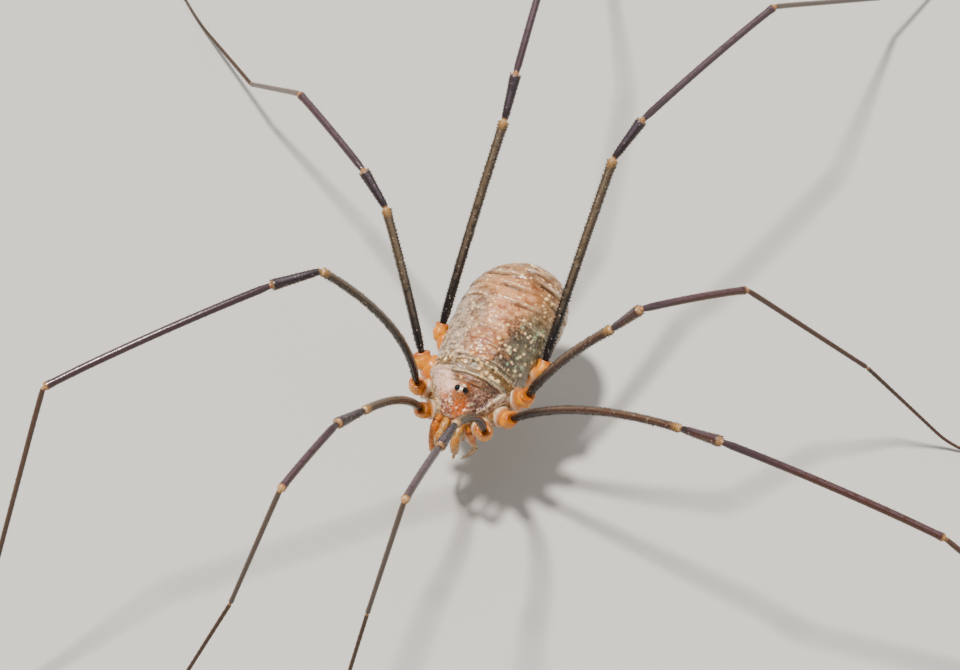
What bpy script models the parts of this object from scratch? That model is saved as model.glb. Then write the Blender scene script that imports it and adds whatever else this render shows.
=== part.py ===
# Harvestman, an adult female of a long-legged garden species, at life size.
# It stands on a flat floor (z = 0) and faces -Y, with its own left side at +X.
# All sizes are in millimetres until main() turns the finished solids into metres.
# Body heights are taken from the level of the trochanters, the short ring joints
# between coxa and femur, which stand STANCE above the floor.
import math

import bmesh
import bpy
from mathutils import Matrix, Vector

MM = 0.001
STANCE = 5.5
GAP = 0.10
EYE_GAP = 0.03

# Points round each body section, and how many sections the prosoma has.
BODY_SIDES = 32
PROSOMA_RINGS = 16

# Prosoma: from the front edge of the carapace back to the waist plane.
# Each station is y, half width, edge level, top and bottom.
WAIST = 0.0
PROSOMA_ROUNDNESS = 2.3
PROSOMA = (
    (-2.00, 0.50, 0.25, 0.62, -0.35),
    (-1.90, 0.66, 0.28, 0.78, -0.55),
    (-1.45, 0.86, 0.32, 0.97, -0.85),
    (-0.90, 1.22, 0.36, 1.12, -1.10),
    (-0.40, 1.55, 0.36, 1.24, -1.25),
    (0.00, 1.76, 0.34, 1.33, -1.35),
)

# Opisthosoma: widens from the waist to its broadest section, then rounds off.
ABDOMEN_START_HALF_WIDTH = 1.80
ABDOMEN_HALF_WIDTH = 2.34
ABDOMEN_BROADEST_Y = 3.75
ABDOMEN_END_Y = 6.65
ABDOMEN_START_HALF_HEIGHT = 1.36
ABDOMEN_HALF_HEIGHT = 1.98
ABDOMEN_START_LEVEL = 0.00
ABDOMEN_LEVEL = -0.32
ABDOMEN_ROUNDNESS = 2.04
ABDOMEN_BLUNTNESS = 2.2
FOLD_AT = (0.55, 1.30, 2.05, 2.85, 3.65, 4.40, 5.05, 5.60, 6.05)
FOLD_DEPTH = 0.07
FOLD_WIDTH = 0.12
FOLD_SHOULDER = 0.16

# Ocularium, the eye hump, and the two eyes in its flanks.
OCULARIUM_AT = (0.0, -1.08, 1.10)
OCULARIUM_HALF = (0.31, 0.42, 0.49)
EYE_AT = (0.175, -1.10, 1.44)
EYE_RADIUS = 0.145

# Side sign and word of the animal's right and left.
BOTH_SIDES = ((-1, "right"), (1, "left"))

# The femora of the hind legs run along the opisthosoma and dent its flanks.
HIND_LEG = 4
DENT_SIDES = 12

# The hind body is swung a little to the animal's left: sideways shift for each
# millimetre behind the waist, for the hind legs and for the opisthosoma.
SWING = 0.08
ABDOMEN_SWING = 0.065

# Mouth parts: chelicerae, then for each pedipalp the heading, pitch and length
# of femur, patella, tibia and tarsus.
CHELICERA_X = 0.35
# Both chelicerae lean this far to the animal's left.
CHELICERA_SHIFT = 0.05
# Points of the chelicera: out from CHELICERA_X, along y, and above the stance.
CHELICERA_BASE = ((-0.04, -1.70, -0.05), (-0.02, -2.30, 0.06), (0.00, -2.75, -0.02))
CHELICERA_BASE_RADII = (0.21, 0.23, 0.18)
CHELICERA_HAND = (
    (0.00, -2.52, 0.12),
    (0.02, -2.82, -0.18),
    (0.03, -2.90, -0.62),
    (0.02, -2.86, -1.05),
)
CHELICERA_HAND_RADII = (0.11, 0.23, 0.24, 0.15)
CHELICERA_FINGER = ((0.02, -2.86, -0.92), (0.01, -2.87, -1.20), (-0.02, -2.87, -1.42))
CHELICERA_FINGER_RADII = (0.09, 0.075, 0.035)
# How far each point of a finger leans away from the other finger.
FINGER_LEAN = (0.054, 0.135, 0.081)
PALP_ROOT = (0.50, -1.62, 0.05)
PALP_SHOULDER = (0.72, -1.98, -0.38)
PALP_RADII = (0.20, 0.205, 0.235, 0.235, 0.22, 0.11)
PALP_POSE = {
    "right": ((-8, -56, 1.45), (157, -62, 0.60), (165, -55, 0.75), (-170, -35, 0.85)),
    "left": ((172, -80, 1.30), (117, -73, 0.60), (-69, -64, 0.70), (-102, -63, 0.80)),
}

# Leg segments in order, with their lengths for legs 1 to 4.
SEGMENTS = ("femur", "patella", "tibia", "metatarsus", "tarsus")
LENGTHS = {
    1: (6.2, 1.9, 5.2, 8.0, 12.0),
    2: (10.0, 2.1, 10.4, 11.0, 16.0),
    3: (6.5, 1.8, 5.6, 8.0, 9.5),
    4: (9.3, 2.0, 8.9, 11.5, 12.0),
}
# Radius at the root, the middle and the end of each segment.
RADII = {
    "femur": (0.24, 0.25, 0.25),
    "patella": (0.23, 0.26, 0.29),
    "tibia": (0.22, 0.25, 0.25),
    "metatarsus": (0.22, 0.25, 0.24),
    "tarsus": (0.24, 0.20, 0.13),
}
RINGS = {"femur": 9, "patella": 5, "tibia": 7, "metatarsus": 7, "tarsus": 15}
SIDES = 8

# Coxae: where each starts inside the body, where its trochanter sits, half width.
COXA = {
    1: ((0.45, -1.05, -0.45), (1.45, -1.98, 0.0), 0.33),
    2: ((0.85, -0.60, -0.50), (2.12, -1.00, 0.0), 0.42),
    3: ((1.05, 0.10, -0.55), (2.38, 0.24, 0.0), 0.48),
    4: ((1.15, 1.05, -0.60), (2.42, 1.85, 0.0), 0.46),
}
COXA_HEIGHT = 1.10
COXA_TAPER = 0.32
TROCHANTER_RADIUS = 0.36
TROCHANTER_REACH = 0.44
COLLAR_RADII = (0.30, 0.29, 0.25)

# Pose: for each segment its heading in degrees, outward from straight ahead,
# and its pitch above the horizontal. The last pair is the tarsus, which has a
# heading only, as its pitch follows from the drop that is left to the floor.
POSE = {
    ("right", 1): ((16, 53), (18, 35), (5, 23), (36, -70), (24,)),
    ("right", 2): ((69, 67), (50, -4), (44, -8), (3, -52), (20,)),
    ("right", 3): ((141, 31), (122, 26), (125, -10), (128, -50), (130,)),
    ("right", 4): ((177, 31), (173, 30), (170, -8), (168, -44), (164,)),
    ("left", 1): ((-1, 61), (1, 29), (4, 34), (-30, -75), (-6,)),
    ("left", 2): ((84, 37), (76, 28), (96, -18), (85, -33), (80,)),
    ("left", 3): ((115, 57), (116, 54), (138, -22), (107, -46), (95,)),
    ("left", 4): ((181, 31), (160, 28), (160, -5), (160, -45), (158,)),
}
# How far each femur bows up from its chord.
FEMUR_BOW = {1: 0.48, 2: 0.88, 3: 0.35, 4: 0.25}
TIBIA_BOW = 0.02
FOOT_FLAT = 1.8
FOOT_BEND = 0.26

COLOURS = {
    "carapace": ((0.42, 0.29, 0.24), 0.45),
    "abdomen": ((0.38, 0.26, 0.18), 0.45),
    "amber": ((0.78, 0.36, 0.07), 0.35),
    "eye": ((0.01, 0.01, 0.012), 0.08),
    "horn": ((0.60, 0.38, 0.18), 0.40),
    "femur": ((0.08, 0.045, 0.04), 0.45),
    "patella": ((0.13, 0.07, 0.06), 0.45),
    "tibia": ((0.20, 0.13, 0.10), 0.35),
    "metatarsus": ((0.26, 0.17, 0.11), 0.40),
    "tarsus": ((0.22, 0.14, 0.09), 0.50),
}


# Small helpers
def smooth_step(value):
    value = min(max(value, 0.0), 1.0)
    return value * value * (3.0 - 2.0 * value)


def along_stations(stations, y):
    """Values of a station list at y, straight between its neighbours."""
    if y <= stations[0][0]:
        return stations[0][1:]
    for low, high in zip(stations, stations[1:]):
        if y <= high[0]:
            share = (y - low[0]) / (high[0] - low[0])
            return tuple(a + (b - a) * share for a, b in zip(low[1:], high[1:]))
    return stations[-1][1:]


def superellipse(angle, power):
    """Point of a rounded section at an angle, for half sizes of one."""
    cosine, sine = math.cos(angle), math.sin(angle)
    return (
        math.copysign(abs(cosine) ** (2.0 / power), cosine),
        math.copysign(abs(sine) ** (2.0 / power), sine),
    )


def direction(side, heading, pitch):
    """Unit vector of a leg segment; side is -1 for right and +1 for left."""
    turn, rise = math.radians(heading), math.radians(pitch)
    return Vector(
        (
            side * math.sin(turn) * math.cos(rise),
            -math.cos(turn) * math.cos(rise),
            math.sin(rise),
        )
    )


def upward(side, heading, pitch):
    """Unit vector square to a segment, in its own upright plane."""
    turn, rise = math.radians(heading), math.radians(pitch)
    return Vector(
        (
            -side * math.sin(turn) * math.sin(rise),
            math.cos(turn) * math.sin(rise),
            math.cos(rise),
        )
    )


def across(side, heading):
    """Level unit vector square to a heading."""
    turn = math.radians(heading)
    return Vector((side * math.cos(turn), math.sin(turn), 0.0))


def swung(point, swing=SWING):
    """Point moved sideways with the swing of the hind body."""
    return point + Vector((swing * max(point.y - WAIST, 0.0), 0.0, 0.0))


def mesh_from_rings(name, rings, pole_start=False, pole_end=False):
    """Closed mesh through rings of points, with flat or pointed ends."""
    shape = bmesh.new()
    rows = [[shape.verts.new(point) for point in ring] for ring in rings]
    count = len(rows[0])
    for row, following in zip(rows, rows[1:]):
        for k in range(count):
            after = (k + 1) % count
            shape.faces.new((row[k], row[after], following[after], following[k]))
    for row, ring, pointed in ((rows[0], rings[0], pole_start), (rows[-1], rings[-1], pole_end)):
        if pointed:
            pole = shape.verts.new(sum(ring, Vector()) / count)
            for k in range(count):
                shape.faces.new((row[k], row[(k + 1) % count], pole))
        else:
            shape.faces.new(row)
    bmesh.ops.recalc_face_normals(shape, faces=shape.faces[:])
    mesh = bpy.data.meshes.new(name)
    shape.to_mesh(mesh)
    shape.free()
    return mesh


def solid(name, mesh):
    """New object in the scene, its mesh still in millimetres."""
    made = bpy.data.objects.new(name, mesh)
    bpy.context.scene.collection.objects.link(made)
    return made


def discard(items):
    for item in items:
        bpy.data.objects.remove(item)


def joined(name, base, pieces, operation, solver="EXACT"):
    """Base united with pieces, or cut by them; the pieces are removed."""
    tools = bpy.data.collections.new(name + "_tools")
    for piece in pieces:
        tools.objects.link(piece)
    cut = base.modifiers.new("join", "BOOLEAN")
    cut.operation = operation
    cut.operand_type = "COLLECTION"
    cut.collection = tools
    cut.solver = solver
    bpy.context.view_layer.update()
    evaluated = base.evaluated_get(bpy.context.evaluated_depsgraph_get())
    mesh = bpy.data.meshes.new_from_object(evaluated)
    base.modifiers.clear()
    base.data = mesh
    discard(pieces)
    bpy.data.collections.remove(tools)
    keep_largest(mesh)
    base.name = name
    return base


def keep_largest(mesh):
    """Drops every loose scrap but the largest closed surface."""
    shape = bmesh.new()
    shape.from_mesh(mesh)
    bmesh.ops.remove_doubles(shape, verts=shape.verts[:], dist=0.0005)
    left = set(shape.verts)
    groups = []
    while left:
        group, front = set(), [left.pop()]
        while front:
            vertex = front.pop()
            group.add(vertex)
            for edge in vertex.link_edges:
                other = edge.other_vert(vertex)
                if other in left:
                    left.remove(other)
                    front.append(other)
        groups.append(group)
    groups.sort(key=len, reverse=True)
    for group in groups[1:]:
        bmesh.ops.delete(shape, geom=list(group), context="VERTS")
    shape.to_mesh(mesh)
    shape.free()


# Body
def prosoma_mesh(grow=0.0):
    """Carapace and sternum as one block of rounded sections."""
    front, back = PROSOMA[0][0], WAIST - GAP / 2.0
    last = PROSOMA_RINGS - 1
    levels = [front + (back - front) * smooth_step(k / last) for k in range(PROSOMA_RINGS)]
    rings = []
    for y in levels:
        half, edge, top, bottom = along_stations(PROSOMA, y)
        ring = []
        for k in range(BODY_SIDES):
            x, z = superellipse(2.0 * math.pi * k / BODY_SIDES, PROSOMA_ROUNDNESS)
            reach = (top - edge + grow) if z > 0.0 else (edge - bottom + grow)
            ring.append(Vector(((half + grow) * x, y, STANCE + edge + reach * z)))
        rings.append(ring)
    if grow:
        rings = stretched(rings, grow)
    return mesh_from_rings("prosoma", rings)


def stretched(rings, grow):
    """Moves the first and last rings out by grow, for a cutter."""
    for point in rings[0]:
        point.y -= grow
    for point in rings[-1]:
        point.y += grow
    return rings


def abdomen_section(y):
    """Half width, half height and level of the opisthosoma at y."""
    if y < ABDOMEN_BROADEST_Y:
        share = math.sin(0.5 * math.pi * max(y, 0.0) / ABDOMEN_BROADEST_Y)
        half = ABDOMEN_START_HALF_WIDTH + share * (
            ABDOMEN_HALF_WIDTH - ABDOMEN_START_HALF_WIDTH
        )
        height = ABDOMEN_START_HALF_HEIGHT + share * (
            ABDOMEN_HALF_HEIGHT - ABDOMEN_START_HALF_HEIGHT
        )
    else:
        reach = (y - ABDOMEN_BROADEST_Y) / (ABDOMEN_END_Y - ABDOMEN_BROADEST_Y)
        close = (1.0 - min(reach, 1.0) ** ABDOMEN_BLUNTNESS) ** 0.5
        half = ABDOMEN_HALF_WIDTH * close
        height = ABDOMEN_HALF_HEIGHT * close
    drop = smooth_step(y / ABDOMEN_BROADEST_Y)
    level = ABDOMEN_START_LEVEL + (ABDOMEN_LEVEL - ABDOMEN_START_LEVEL) * drop
    return half, height, level


def fold_at(y):
    """Depth of the back's cross folds at y."""
    depth = 0.0
    for fold in FOLD_AT:
        depth += FOLD_DEPTH * math.exp(-(((y - fold) / FOLD_WIDTH) ** 2))
    return depth


def abdomen_levels():
    """Section places: one in each fold, one on each crest, closer to the end."""
    start = WAIST + GAP / 2.0
    levels = [start, start + 0.25]
    edges = [FOLD_AT[0] - FOLD_SHOULDER]
    for fold, following in zip(FOLD_AT, FOLD_AT[1:] + (ABDOMEN_END_Y,)):
        crest = (fold + following) / 2.0
        edges += [fold, fold + FOLD_SHOULDER, crest, following - FOLD_SHOULDER]
    levels += [y for y in edges if y < ABDOMEN_END_Y - 0.12]
    levels += [ABDOMEN_END_Y - 0.08, ABDOMEN_END_Y - 0.02]
    return sorted(set(round(y, 4) for y in levels))


def abdomen_mesh(grow=0.0):
    """Opisthosoma with its cross folds across the back."""
    levels = abdomen_levels() if not grow else [0.05 + 0.35 * k for k in range(19)]
    rings = []
    for y in levels:
        half, height, level = abdomen_section(y)
        fold = 0.0 if grow else fold_at(y)
        ring = []
        for k in range(BODY_SIDES):
            x, z = superellipse(2.0 * math.pi * k / BODY_SIDES, ABDOMEN_ROUNDNESS)
            back = smooth_step((z + 0.25) / 0.8)
            inward = grow - fold * back * min(1.0, height)
            at = Vector(((half + inward) * x, y, STANCE + level + (height + inward) * z))
            ring.append(swung(at, ABDOMEN_SWING))
        rings.append(ring)
    if grow:
        rings = stretched(rings, grow)
    return mesh_from_rings("opisthosoma", rings, pole_end=True)


def ball_mesh(name, centre, half, columns=16, rows=10):
    """Ellipsoid about a centre with its poles up and down."""
    rings = []
    for row in range(1, rows):
        polar = math.pi * row / rows
        ring = []
        for k in range(columns):
            turn = 2.0 * math.pi * k / columns
            ring.append(
                Vector(
                    (
                        centre[0] + half[0] * math.sin(polar) * math.cos(turn),
                        centre[1] + half[1] * math.sin(polar) * math.sin(turn),
                        STANCE + centre[2] + half[2] * math.cos(polar),
                    )
                )
            )
        rings.append(ring)
    mesh = mesh_from_rings(name, rings, pole_start=True, pole_end=True)
    tip = half[2] * (1.0 - math.cos(math.pi / rows))
    mesh.vertices[-2].co.z += tip
    mesh.vertices[-1].co.z -= tip
    return mesh


def eye_mesh(side, grow=0.0):
    radius = EYE_RADIUS + grow
    centre = (side * EYE_AT[0], EYE_AT[1], EYE_AT[2])
    return ball_mesh("eye", centre, (radius, radius, radius), 14, 10)


def make_body(add):
    add(solid("prosoma", prosoma_mesh()), "carapace", (0.0, WAIST, STANCE))
    dents = []
    for side, word in BOTH_SIDES:
        path = femur_course(side, word, HIND_LEG)[2]
        radii = [radius + GAP for radius in spread(RADII["femur"], len(path))]
        dents.append(solid("dent", limb_mesh("dent", path, radii, DENT_SIDES)))
    hind = joined("opisthosoma", solid("opisthosoma", abdomen_mesh()), dents, "DIFFERENCE")
    add(hind, "abdomen", (0.0, WAIST, STANCE))
    hump = solid("ocularium", ball_mesh("ocularium", OCULARIUM_AT, OCULARIUM_HALF, 16, 10))
    cutters = [solid("under", prosoma_mesh(GAP * 0.7))]
    for side in (-1, 1):
        cutters.append(solid("socket", eye_mesh(side, EYE_GAP)))
    hump = joined("ocularium", hump, cutters, "DIFFERENCE")
    at = Vector(OCULARIUM_AT) + Vector((0.0, 0.0, STANCE))
    add(hump, "carapace", at)
    for side, word in BOTH_SIDES:
        at = Vector((side * EYE_AT[0], EYE_AT[1], STANCE + EYE_AT[2]))
        add(solid("eye_" + word, eye_mesh(side)), "eye", at)


# Mouth parts
def smooth_path(corners, steps):
    """Points on a smooth curve through corners, steps to each stretch."""
    ends = [corners[0] * 2 - corners[1]] + corners + [corners[-1] * 2 - corners[-2]]
    points = []
    for k in range(len(corners) - 1):
        a, b, c, d = ends[k : k + 4]
        for step in range(steps):
            t = step / steps
            points.append(
                0.5
                * (
                    2.0 * b
                    + (c - a) * t
                    + (2.0 * a - 5.0 * b + 4.0 * c - d) * t * t
                    + (3.0 * b - a - 3.0 * c + d) * t * t * t
                )
            )
    points.append(corners[-1])
    return points


def limb_mesh(name, points, radii, sides=SIDES, level=None):
    """Tube through points, its rings square to the path."""
    level = level or Vector((1.0, 0.0, 0.0))
    corner = 1.0 / math.cos(math.pi / sides)
    rings = []
    for k, point in enumerate(points):
        before = points[max(k - 1, 0)]
        after = points[min(k + 1, len(points) - 1)]
        along = (after - before).normalized()
        level = (level - along * level.dot(along)).normalized()
        over = level.cross(along)
        rings.append(
            [
                point
                + corner
                * radii[k]
                * (
                    level * math.cos(2.0 * math.pi * (n + 0.5) / sides)
                    + over * math.sin(2.0 * math.pi * (n + 0.5) / sides)
                )
                for n in range(sides)
            ]
        )
    return mesh_from_rings(name, rings)


def spread(values, count):
    """Values eased out to count entries."""
    last = len(values) - 1
    result = []
    for k in range(count):
        place = last * k / (count - 1)
        low = min(int(place), last - 1)
        share = smooth_step(place - low)
        result.append(values[low] + (values[low + 1] - values[low]) * share)
    return result


def body_point(side, x, y, z):
    return Vector((side * x, y, STANCE + z))


def chelicera_tube(name, side, corners, radii, sides=SIDES, lean=(0.0, 0.0, 0.0, 0.0)):
    """Tube through points given from the chelicera's own x."""
    path = [
        body_point(side, CHELICERA_X + x + side * CHELICERA_SHIFT, y + shift, z)
        for (x, y, z), shift in zip(corners, lean)
    ]
    path = smooth_path(path, 3)
    return solid(name, limb_mesh(name, path, spread(radii, len(path)), sides))


def make_chelicera(add, side, word):
    """Level base piece, hanging hand and the two short fingers of its pincer."""
    arm = chelicera_tube("arm", side, CHELICERA_BASE, CHELICERA_BASE_RADII)
    pieces = [chelicera_tube("hand", side, CHELICERA_HAND, CHELICERA_HAND_RADII)]
    for way in (-1, 1):
        lean = [way * shift for shift in FINGER_LEAN]
        pieces.append(
            chelicera_tube("finger", side, CHELICERA_FINGER, CHELICERA_FINGER_RADII, 6, lean)
        )
    made = joined("chelicera_" + word, arm, pieces, "UNION")
    cutters = [solid("under", prosoma_mesh(GAP)), palp_tube(side, word, GAP)]
    made = joined(made.name, made, cutters, "DIFFERENCE")
    root = body_point(side, CHELICERA_X + side * CHELICERA_SHIFT, -2.0, 0.0)
    add(made, "horn", root)


def palp_tube(side, word, grow=0.0):
    """Ring joint and femur, patella, tibia and thin end piece in one tube."""
    corners = [body_point(side, *PALP_ROOT), body_point(side, *PALP_SHOULDER)]
    for heading, pitch, length in PALP_POSE[word]:
        corners.append(corners[-1] + direction(side, heading, pitch) * length)
    path = smooth_path(corners, 4)
    radii = [radius + grow for radius in spread(PALP_RADII, len(path))]
    return solid("palp", limb_mesh("palp", path, radii))


def make_palp(add, side, word):
    """Feeler, cut clear of the prosoma that it grows from."""
    body = [solid("under", prosoma_mesh(GAP))]
    made = joined("pedipalp_" + word, palp_tube(side, word), body, "DIFFERENCE", "MANIFOLD")
    add(made, "amber", body_point(side, *PALP_SHOULDER))


# Legs
def arc_points(start, along, over, length, bow, count):
    """Points from start over a chord, raised by bow in the middle."""
    points = []
    for k in range(count):
        share = k / (count - 1)
        points.append(start + along * (length * share) + over * (4.0 * bow * share * (1.0 - share)))
    return points


def foot_drop(pitch, bend, straight):
    """Height lost by a straight slope and the bend that levels it out."""
    return straight * math.sin(pitch) + bend * (1.0 - math.cos(pitch)) / pitch


def tarsus_points(start, side, heading, length, floor_level, count):
    """Slope, smooth bend and level foot, whose axis ends at floor_level."""
    bend = FOOT_BEND * length
    straight = length - bend - FOOT_FLAT
    low, high = 0.01, 0.5 * math.pi
    for _ in range(50):
        pitch = 0.5 * (low + high)
        if foot_drop(pitch, bend, straight) < start.z - floor_level:
            low = pitch
        else:
            high = pitch
    points = []
    for k in range(count):
        run = length * k / (count - 1)
        slope = min(run, straight)
        ahead = slope * math.cos(pitch)
        down = slope * math.sin(pitch)
        turned = min(max(run - straight, 0.0), bend)
        left = pitch * (1.0 - turned / bend)
        ahead += bend / pitch * (math.sin(pitch) - math.sin(left))
        down += bend / pitch * (math.cos(left) - math.cos(pitch))
        ahead += max(run - straight - bend, 0.0)
        points.append(start + direction(side, heading, 0) * ahead - Vector((0.0, 0.0, down)))
    return points


def end_tangent(points, at_start):
    if at_start:
        return (points[1] - points[0]).normalized()
    return (points[-1] - points[-2]).normalized()


def slid_ring(ring, along, joint, normal):
    """Ring moved along the limb onto the plane of a joint."""
    facing = along.dot(normal)
    return [point + along * ((joint - point).dot(normal) / facing) for point in ring]


def segment_mesh(name, points, radii, beside, planes):
    """Leg segment as a tube, its ends cut in the planes of its joints.

    Nothing reaches below the floor, which trims the sole of the foot flat.
    """
    corner = 1.0 / math.cos(math.pi / SIDES)
    rings = []
    last = len(points) - 1
    for k, point in enumerate(points):
        along = (points[min(k + 1, last)] - points[max(k - 1, 0)]).normalized()
        level = (beside - along * beside.dot(along)).normalized()
        over = level.cross(along)
        if over.z < 0.0:
            over = -over
        ring = []
        for n in range(SIDES):
            turn = 2.0 * math.pi * (n + 0.5) / SIDES
            offset = level * math.cos(turn) + over * math.sin(turn)
            ring.append(point + offset * (corner * radii[k]))
        rings.append(ring)
    if planes[0]:
        rings[0] = slid_ring(rings[0], end_tangent(points, True), *planes[0])
    if planes[1]:
        rings[-1] = slid_ring(rings[-1], end_tangent(points, False), *planes[1])
    for ring in rings:
        for point in ring:
            point.z = max(point.z, 0.0)
    return mesh_from_rings(name, rings)


def coxa_solid(name, start, centre, half_width, femur_way):
    """Coxa, round trochanter and the collar that carries the femur."""
    way = (centre - start).normalized()
    level = way.cross(Vector((0.0, 0.0, 1.0))).normalized()
    rings = []
    for k in range(6):
        share = k / 5.0
        swell = half_width * (1.0 - COXA_TAPER * share * share)
        over = level.cross(way).normalized()
        ring = []
        for n in range(12):
            turn = 2.0 * math.pi * n / 12.0
            offset = level * (swell * math.cos(turn))
            offset += over * (swell * COXA_HEIGHT * math.sin(turn))
            ring.append(start + (centre - start) * (0.86 * share) + offset)
        rings.append(ring)
    coxa = solid("coxa", mesh_from_rings("coxa", rings))
    flat_centre = (centre.x, centre.y, centre.z - STANCE)
    size = TROCHANTER_RADIUS
    ball = solid("ball", ball_mesh("ball", flat_centre, (size, size, size * 0.94), 12, 8))
    collar_path = [centre + femur_way * (TROCHANTER_REACH * k / 2.0) for k in range(3)]
    beside = femur_way.cross(Vector((0.0, 1.0, 0.3))).normalized()
    collar = limb_mesh("collar", collar_path, COLLAR_RADII, 10, beside)
    return joined(name, coxa, [ball, solid("collar", collar)], "UNION")


def femur_course(side, word, number):
    """Trochanter centre, the way the femur leaves it, and the femur's axis."""
    centre = swung(body_point(side, *COXA[number][1]))
    length, bow = LENGTHS[number][0], FEMUR_BOW[number]
    heading, pitch = POSE[(word, number)][0]
    way = direction(side, heading, pitch)
    over = upward(side, heading, pitch)
    femur_way = (way * length + over * (4.0 * bow)).normalized()
    joint = centre + femur_way * (TROCHANTER_REACH + GAP / 2.0)
    return centre, femur_way, arc_points(joint, way, over, length, bow, RINGS["femur"])


def make_leg(add, side, word, number):
    """One leg from coxa to foot, joint by joint."""
    pose = POSE[(word, number)]
    lengths = LENGTHS[number]
    start, _, half_width = COXA[number]
    start = swung(body_point(side, *start))
    centre, femur_way, axis = femur_course(side, word, number)

    bows = (FEMUR_BOW[number], 0.0, TIBIA_BOW * lengths[2], 0.0)
    paths = [axis]
    joint = axis[-1]
    for k in range(1, 4):
        heading, pitch = pose[k]
        way = direction(side, heading, pitch)
        over = upward(side, heading, pitch)
        points = arc_points(joint, way, over, lengths[k], bows[k], RINGS[SEGMENTS[k]])
        paths.append(points)
        joint = points[-1]
    foot = RADII["tarsus"][2]
    paths.append(tarsus_points(joint, side, pose[4][0], lengths[4], foot, RINGS["tarsus"]))

    prefix = "leg%d_%s_" % (number, word)
    coxa = coxa_solid(prefix + "coxa", start, centre, half_width, femur_way)
    cutters = [solid("cut", prosoma_mesh(GAP)), solid("cut", abdomen_mesh(GAP))]
    if number == 1:
        cutters.append(palp_tube(side, word, GAP))
    add(joined(coxa.name, coxa, cutters, "DIFFERENCE"), "amber", centre)

    for k, segment in enumerate(SEGMENTS):
        points = paths[k]
        entering = femur_way if k == 0 else end_tangent(paths[k - 1], False)
        leaving = end_tangent(points, True)
        normal = (entering + leaving).normalized()
        planes = [(points[0] + normal * (GAP / 2.0), normal), None]
        if k < 4:
            normal = (end_tangent(points, False) + end_tangent(paths[k + 1], True)).normalized()
            planes[1] = (points[-1] - normal * (GAP / 2.0), normal)
        radii = spread(RADII[segment], len(points))
        if segment == "tarsus":
            radii = foot_radii(points)
        mesh = segment_mesh(prefix + segment, points, radii, across(side, pose[k][0]), planes)
        add(solid(prefix + segment, mesh), segment, points[0])


def foot_radii(points):
    """Taper down the slope and an even radius along the flat of the foot."""
    root, middle, foot = RADII["tarsus"]
    lowest = points[-1].z
    flat_from = next(k for k, point in enumerate(points) if point.z < lowest + 0.001)
    radii = []
    for k in range(len(points)):
        share = min(k / max(flat_from, 1), 1.0)
        ends = root + (foot - root) * share
        radii.append(ends + (middle - 0.5 * (root + foot)) * 4.0 * share * (1.0 - share))
    return radii


# Assembly
def material(name, kind):
    colour, roughness = COLOURS[kind]
    made = bpy.data.materials.new(name)
    made.use_nodes = True
    shader = made.node_tree.nodes["Principled BSDF"]
    shader.inputs["Base Color"].default_value = (*colour, 1.0)
    shader.inputs["Roughness"].default_value = roughness
    shader.inputs["Metallic"].default_value = 0.0
    made.diffuse_color = (*colour, 1.0)
    return made


def main():
    for old in list(bpy.data.objects):
        bpy.data.objects.remove(old)
    stand = bpy.data.objects.new("harvestman", None)
    bpy.context.scene.collection.objects.link(stand)
    parts = []

    def add(made, kind, root):
        """Takes a finished solid: origin on its root, metres, own material."""
        made.data = made.data.copy()
        made.data.name = made.name
        made.data.transform(Matrix.Translation(-Vector(root)))
        made.data.transform(Matrix.Scale(MM, 4))
        made.location = Vector(root) * MM
        made.parent = stand
        made.data.materials.clear()
        made.data.materials.append(material(made.name, kind))
        made.data.shade_smooth()
        made.data.set_sharp_from_angle(angle=math.radians(50.0))
        parts.append(made)

    make_body(add)
    for side, word in BOTH_SIDES:
        make_chelicera(add, side, word)
        make_palp(add, side, word)
        for number in (1, 2, 3, 4):
            make_leg(add, side, word, number)

    bpy.context.view_layer.update()
    corners = [made.matrix_world @ vertex.co for made in parts for vertex in made.data.vertices]
    middle_x = 0.5 * (min(c.x for c in corners) + max(c.x for c in corners))
    middle_y = 0.5 * (min(c.y for c in corners) + max(c.y for c in corners))
    stand.location = (-middle_x, -middle_y, 0.0)
    bpy.context.view_layer.update()


main()
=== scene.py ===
import math

import bpy
import numpy as np
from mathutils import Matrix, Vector


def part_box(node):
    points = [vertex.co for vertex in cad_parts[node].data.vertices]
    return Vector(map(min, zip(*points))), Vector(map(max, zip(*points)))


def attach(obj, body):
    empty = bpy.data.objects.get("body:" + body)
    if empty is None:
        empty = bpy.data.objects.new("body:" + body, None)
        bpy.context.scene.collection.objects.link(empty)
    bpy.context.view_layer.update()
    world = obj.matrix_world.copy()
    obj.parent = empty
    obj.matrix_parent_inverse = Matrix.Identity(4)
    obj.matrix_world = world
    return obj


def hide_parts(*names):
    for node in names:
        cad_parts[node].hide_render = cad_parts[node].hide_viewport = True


# A harvestman at life size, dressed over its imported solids.
# Lengths are in millimetres from the middle of the waist, at the level of the ring
# joints of the legs, until a piece is made; the eyes' boxes say where that point is.

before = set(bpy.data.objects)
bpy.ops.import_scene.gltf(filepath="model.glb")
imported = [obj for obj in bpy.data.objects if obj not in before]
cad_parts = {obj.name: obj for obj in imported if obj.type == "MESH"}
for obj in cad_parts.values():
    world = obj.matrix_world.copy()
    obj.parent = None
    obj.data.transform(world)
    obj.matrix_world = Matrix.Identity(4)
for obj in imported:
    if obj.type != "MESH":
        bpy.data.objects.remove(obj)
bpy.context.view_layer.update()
print("frame loaded")

mm, perMetre = 0.001, 1000.0
stance = {"gain": 0.74, "eyeBack": -1.10, "eyeUp": 1.44, "floor": -5.5, "swing": 0.08, "seed": 7}
rng = np.random.default_rng(stance["seed"])


def boxMiddle(node):
    low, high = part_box(node)
    return 0.5 * perMetre * (np.array(low) + np.array(high))


waist = 0.5 * (boxMiddle("eye_left") + boxMiddle("eye_right"))
waist = waist - (0.0, stance["eyeBack"], stance["eyeUp"])


# Shader maths
cellLook = {"bendScale": 7.0, "bend": (0.10, 0.10, 0.10)}


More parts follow.
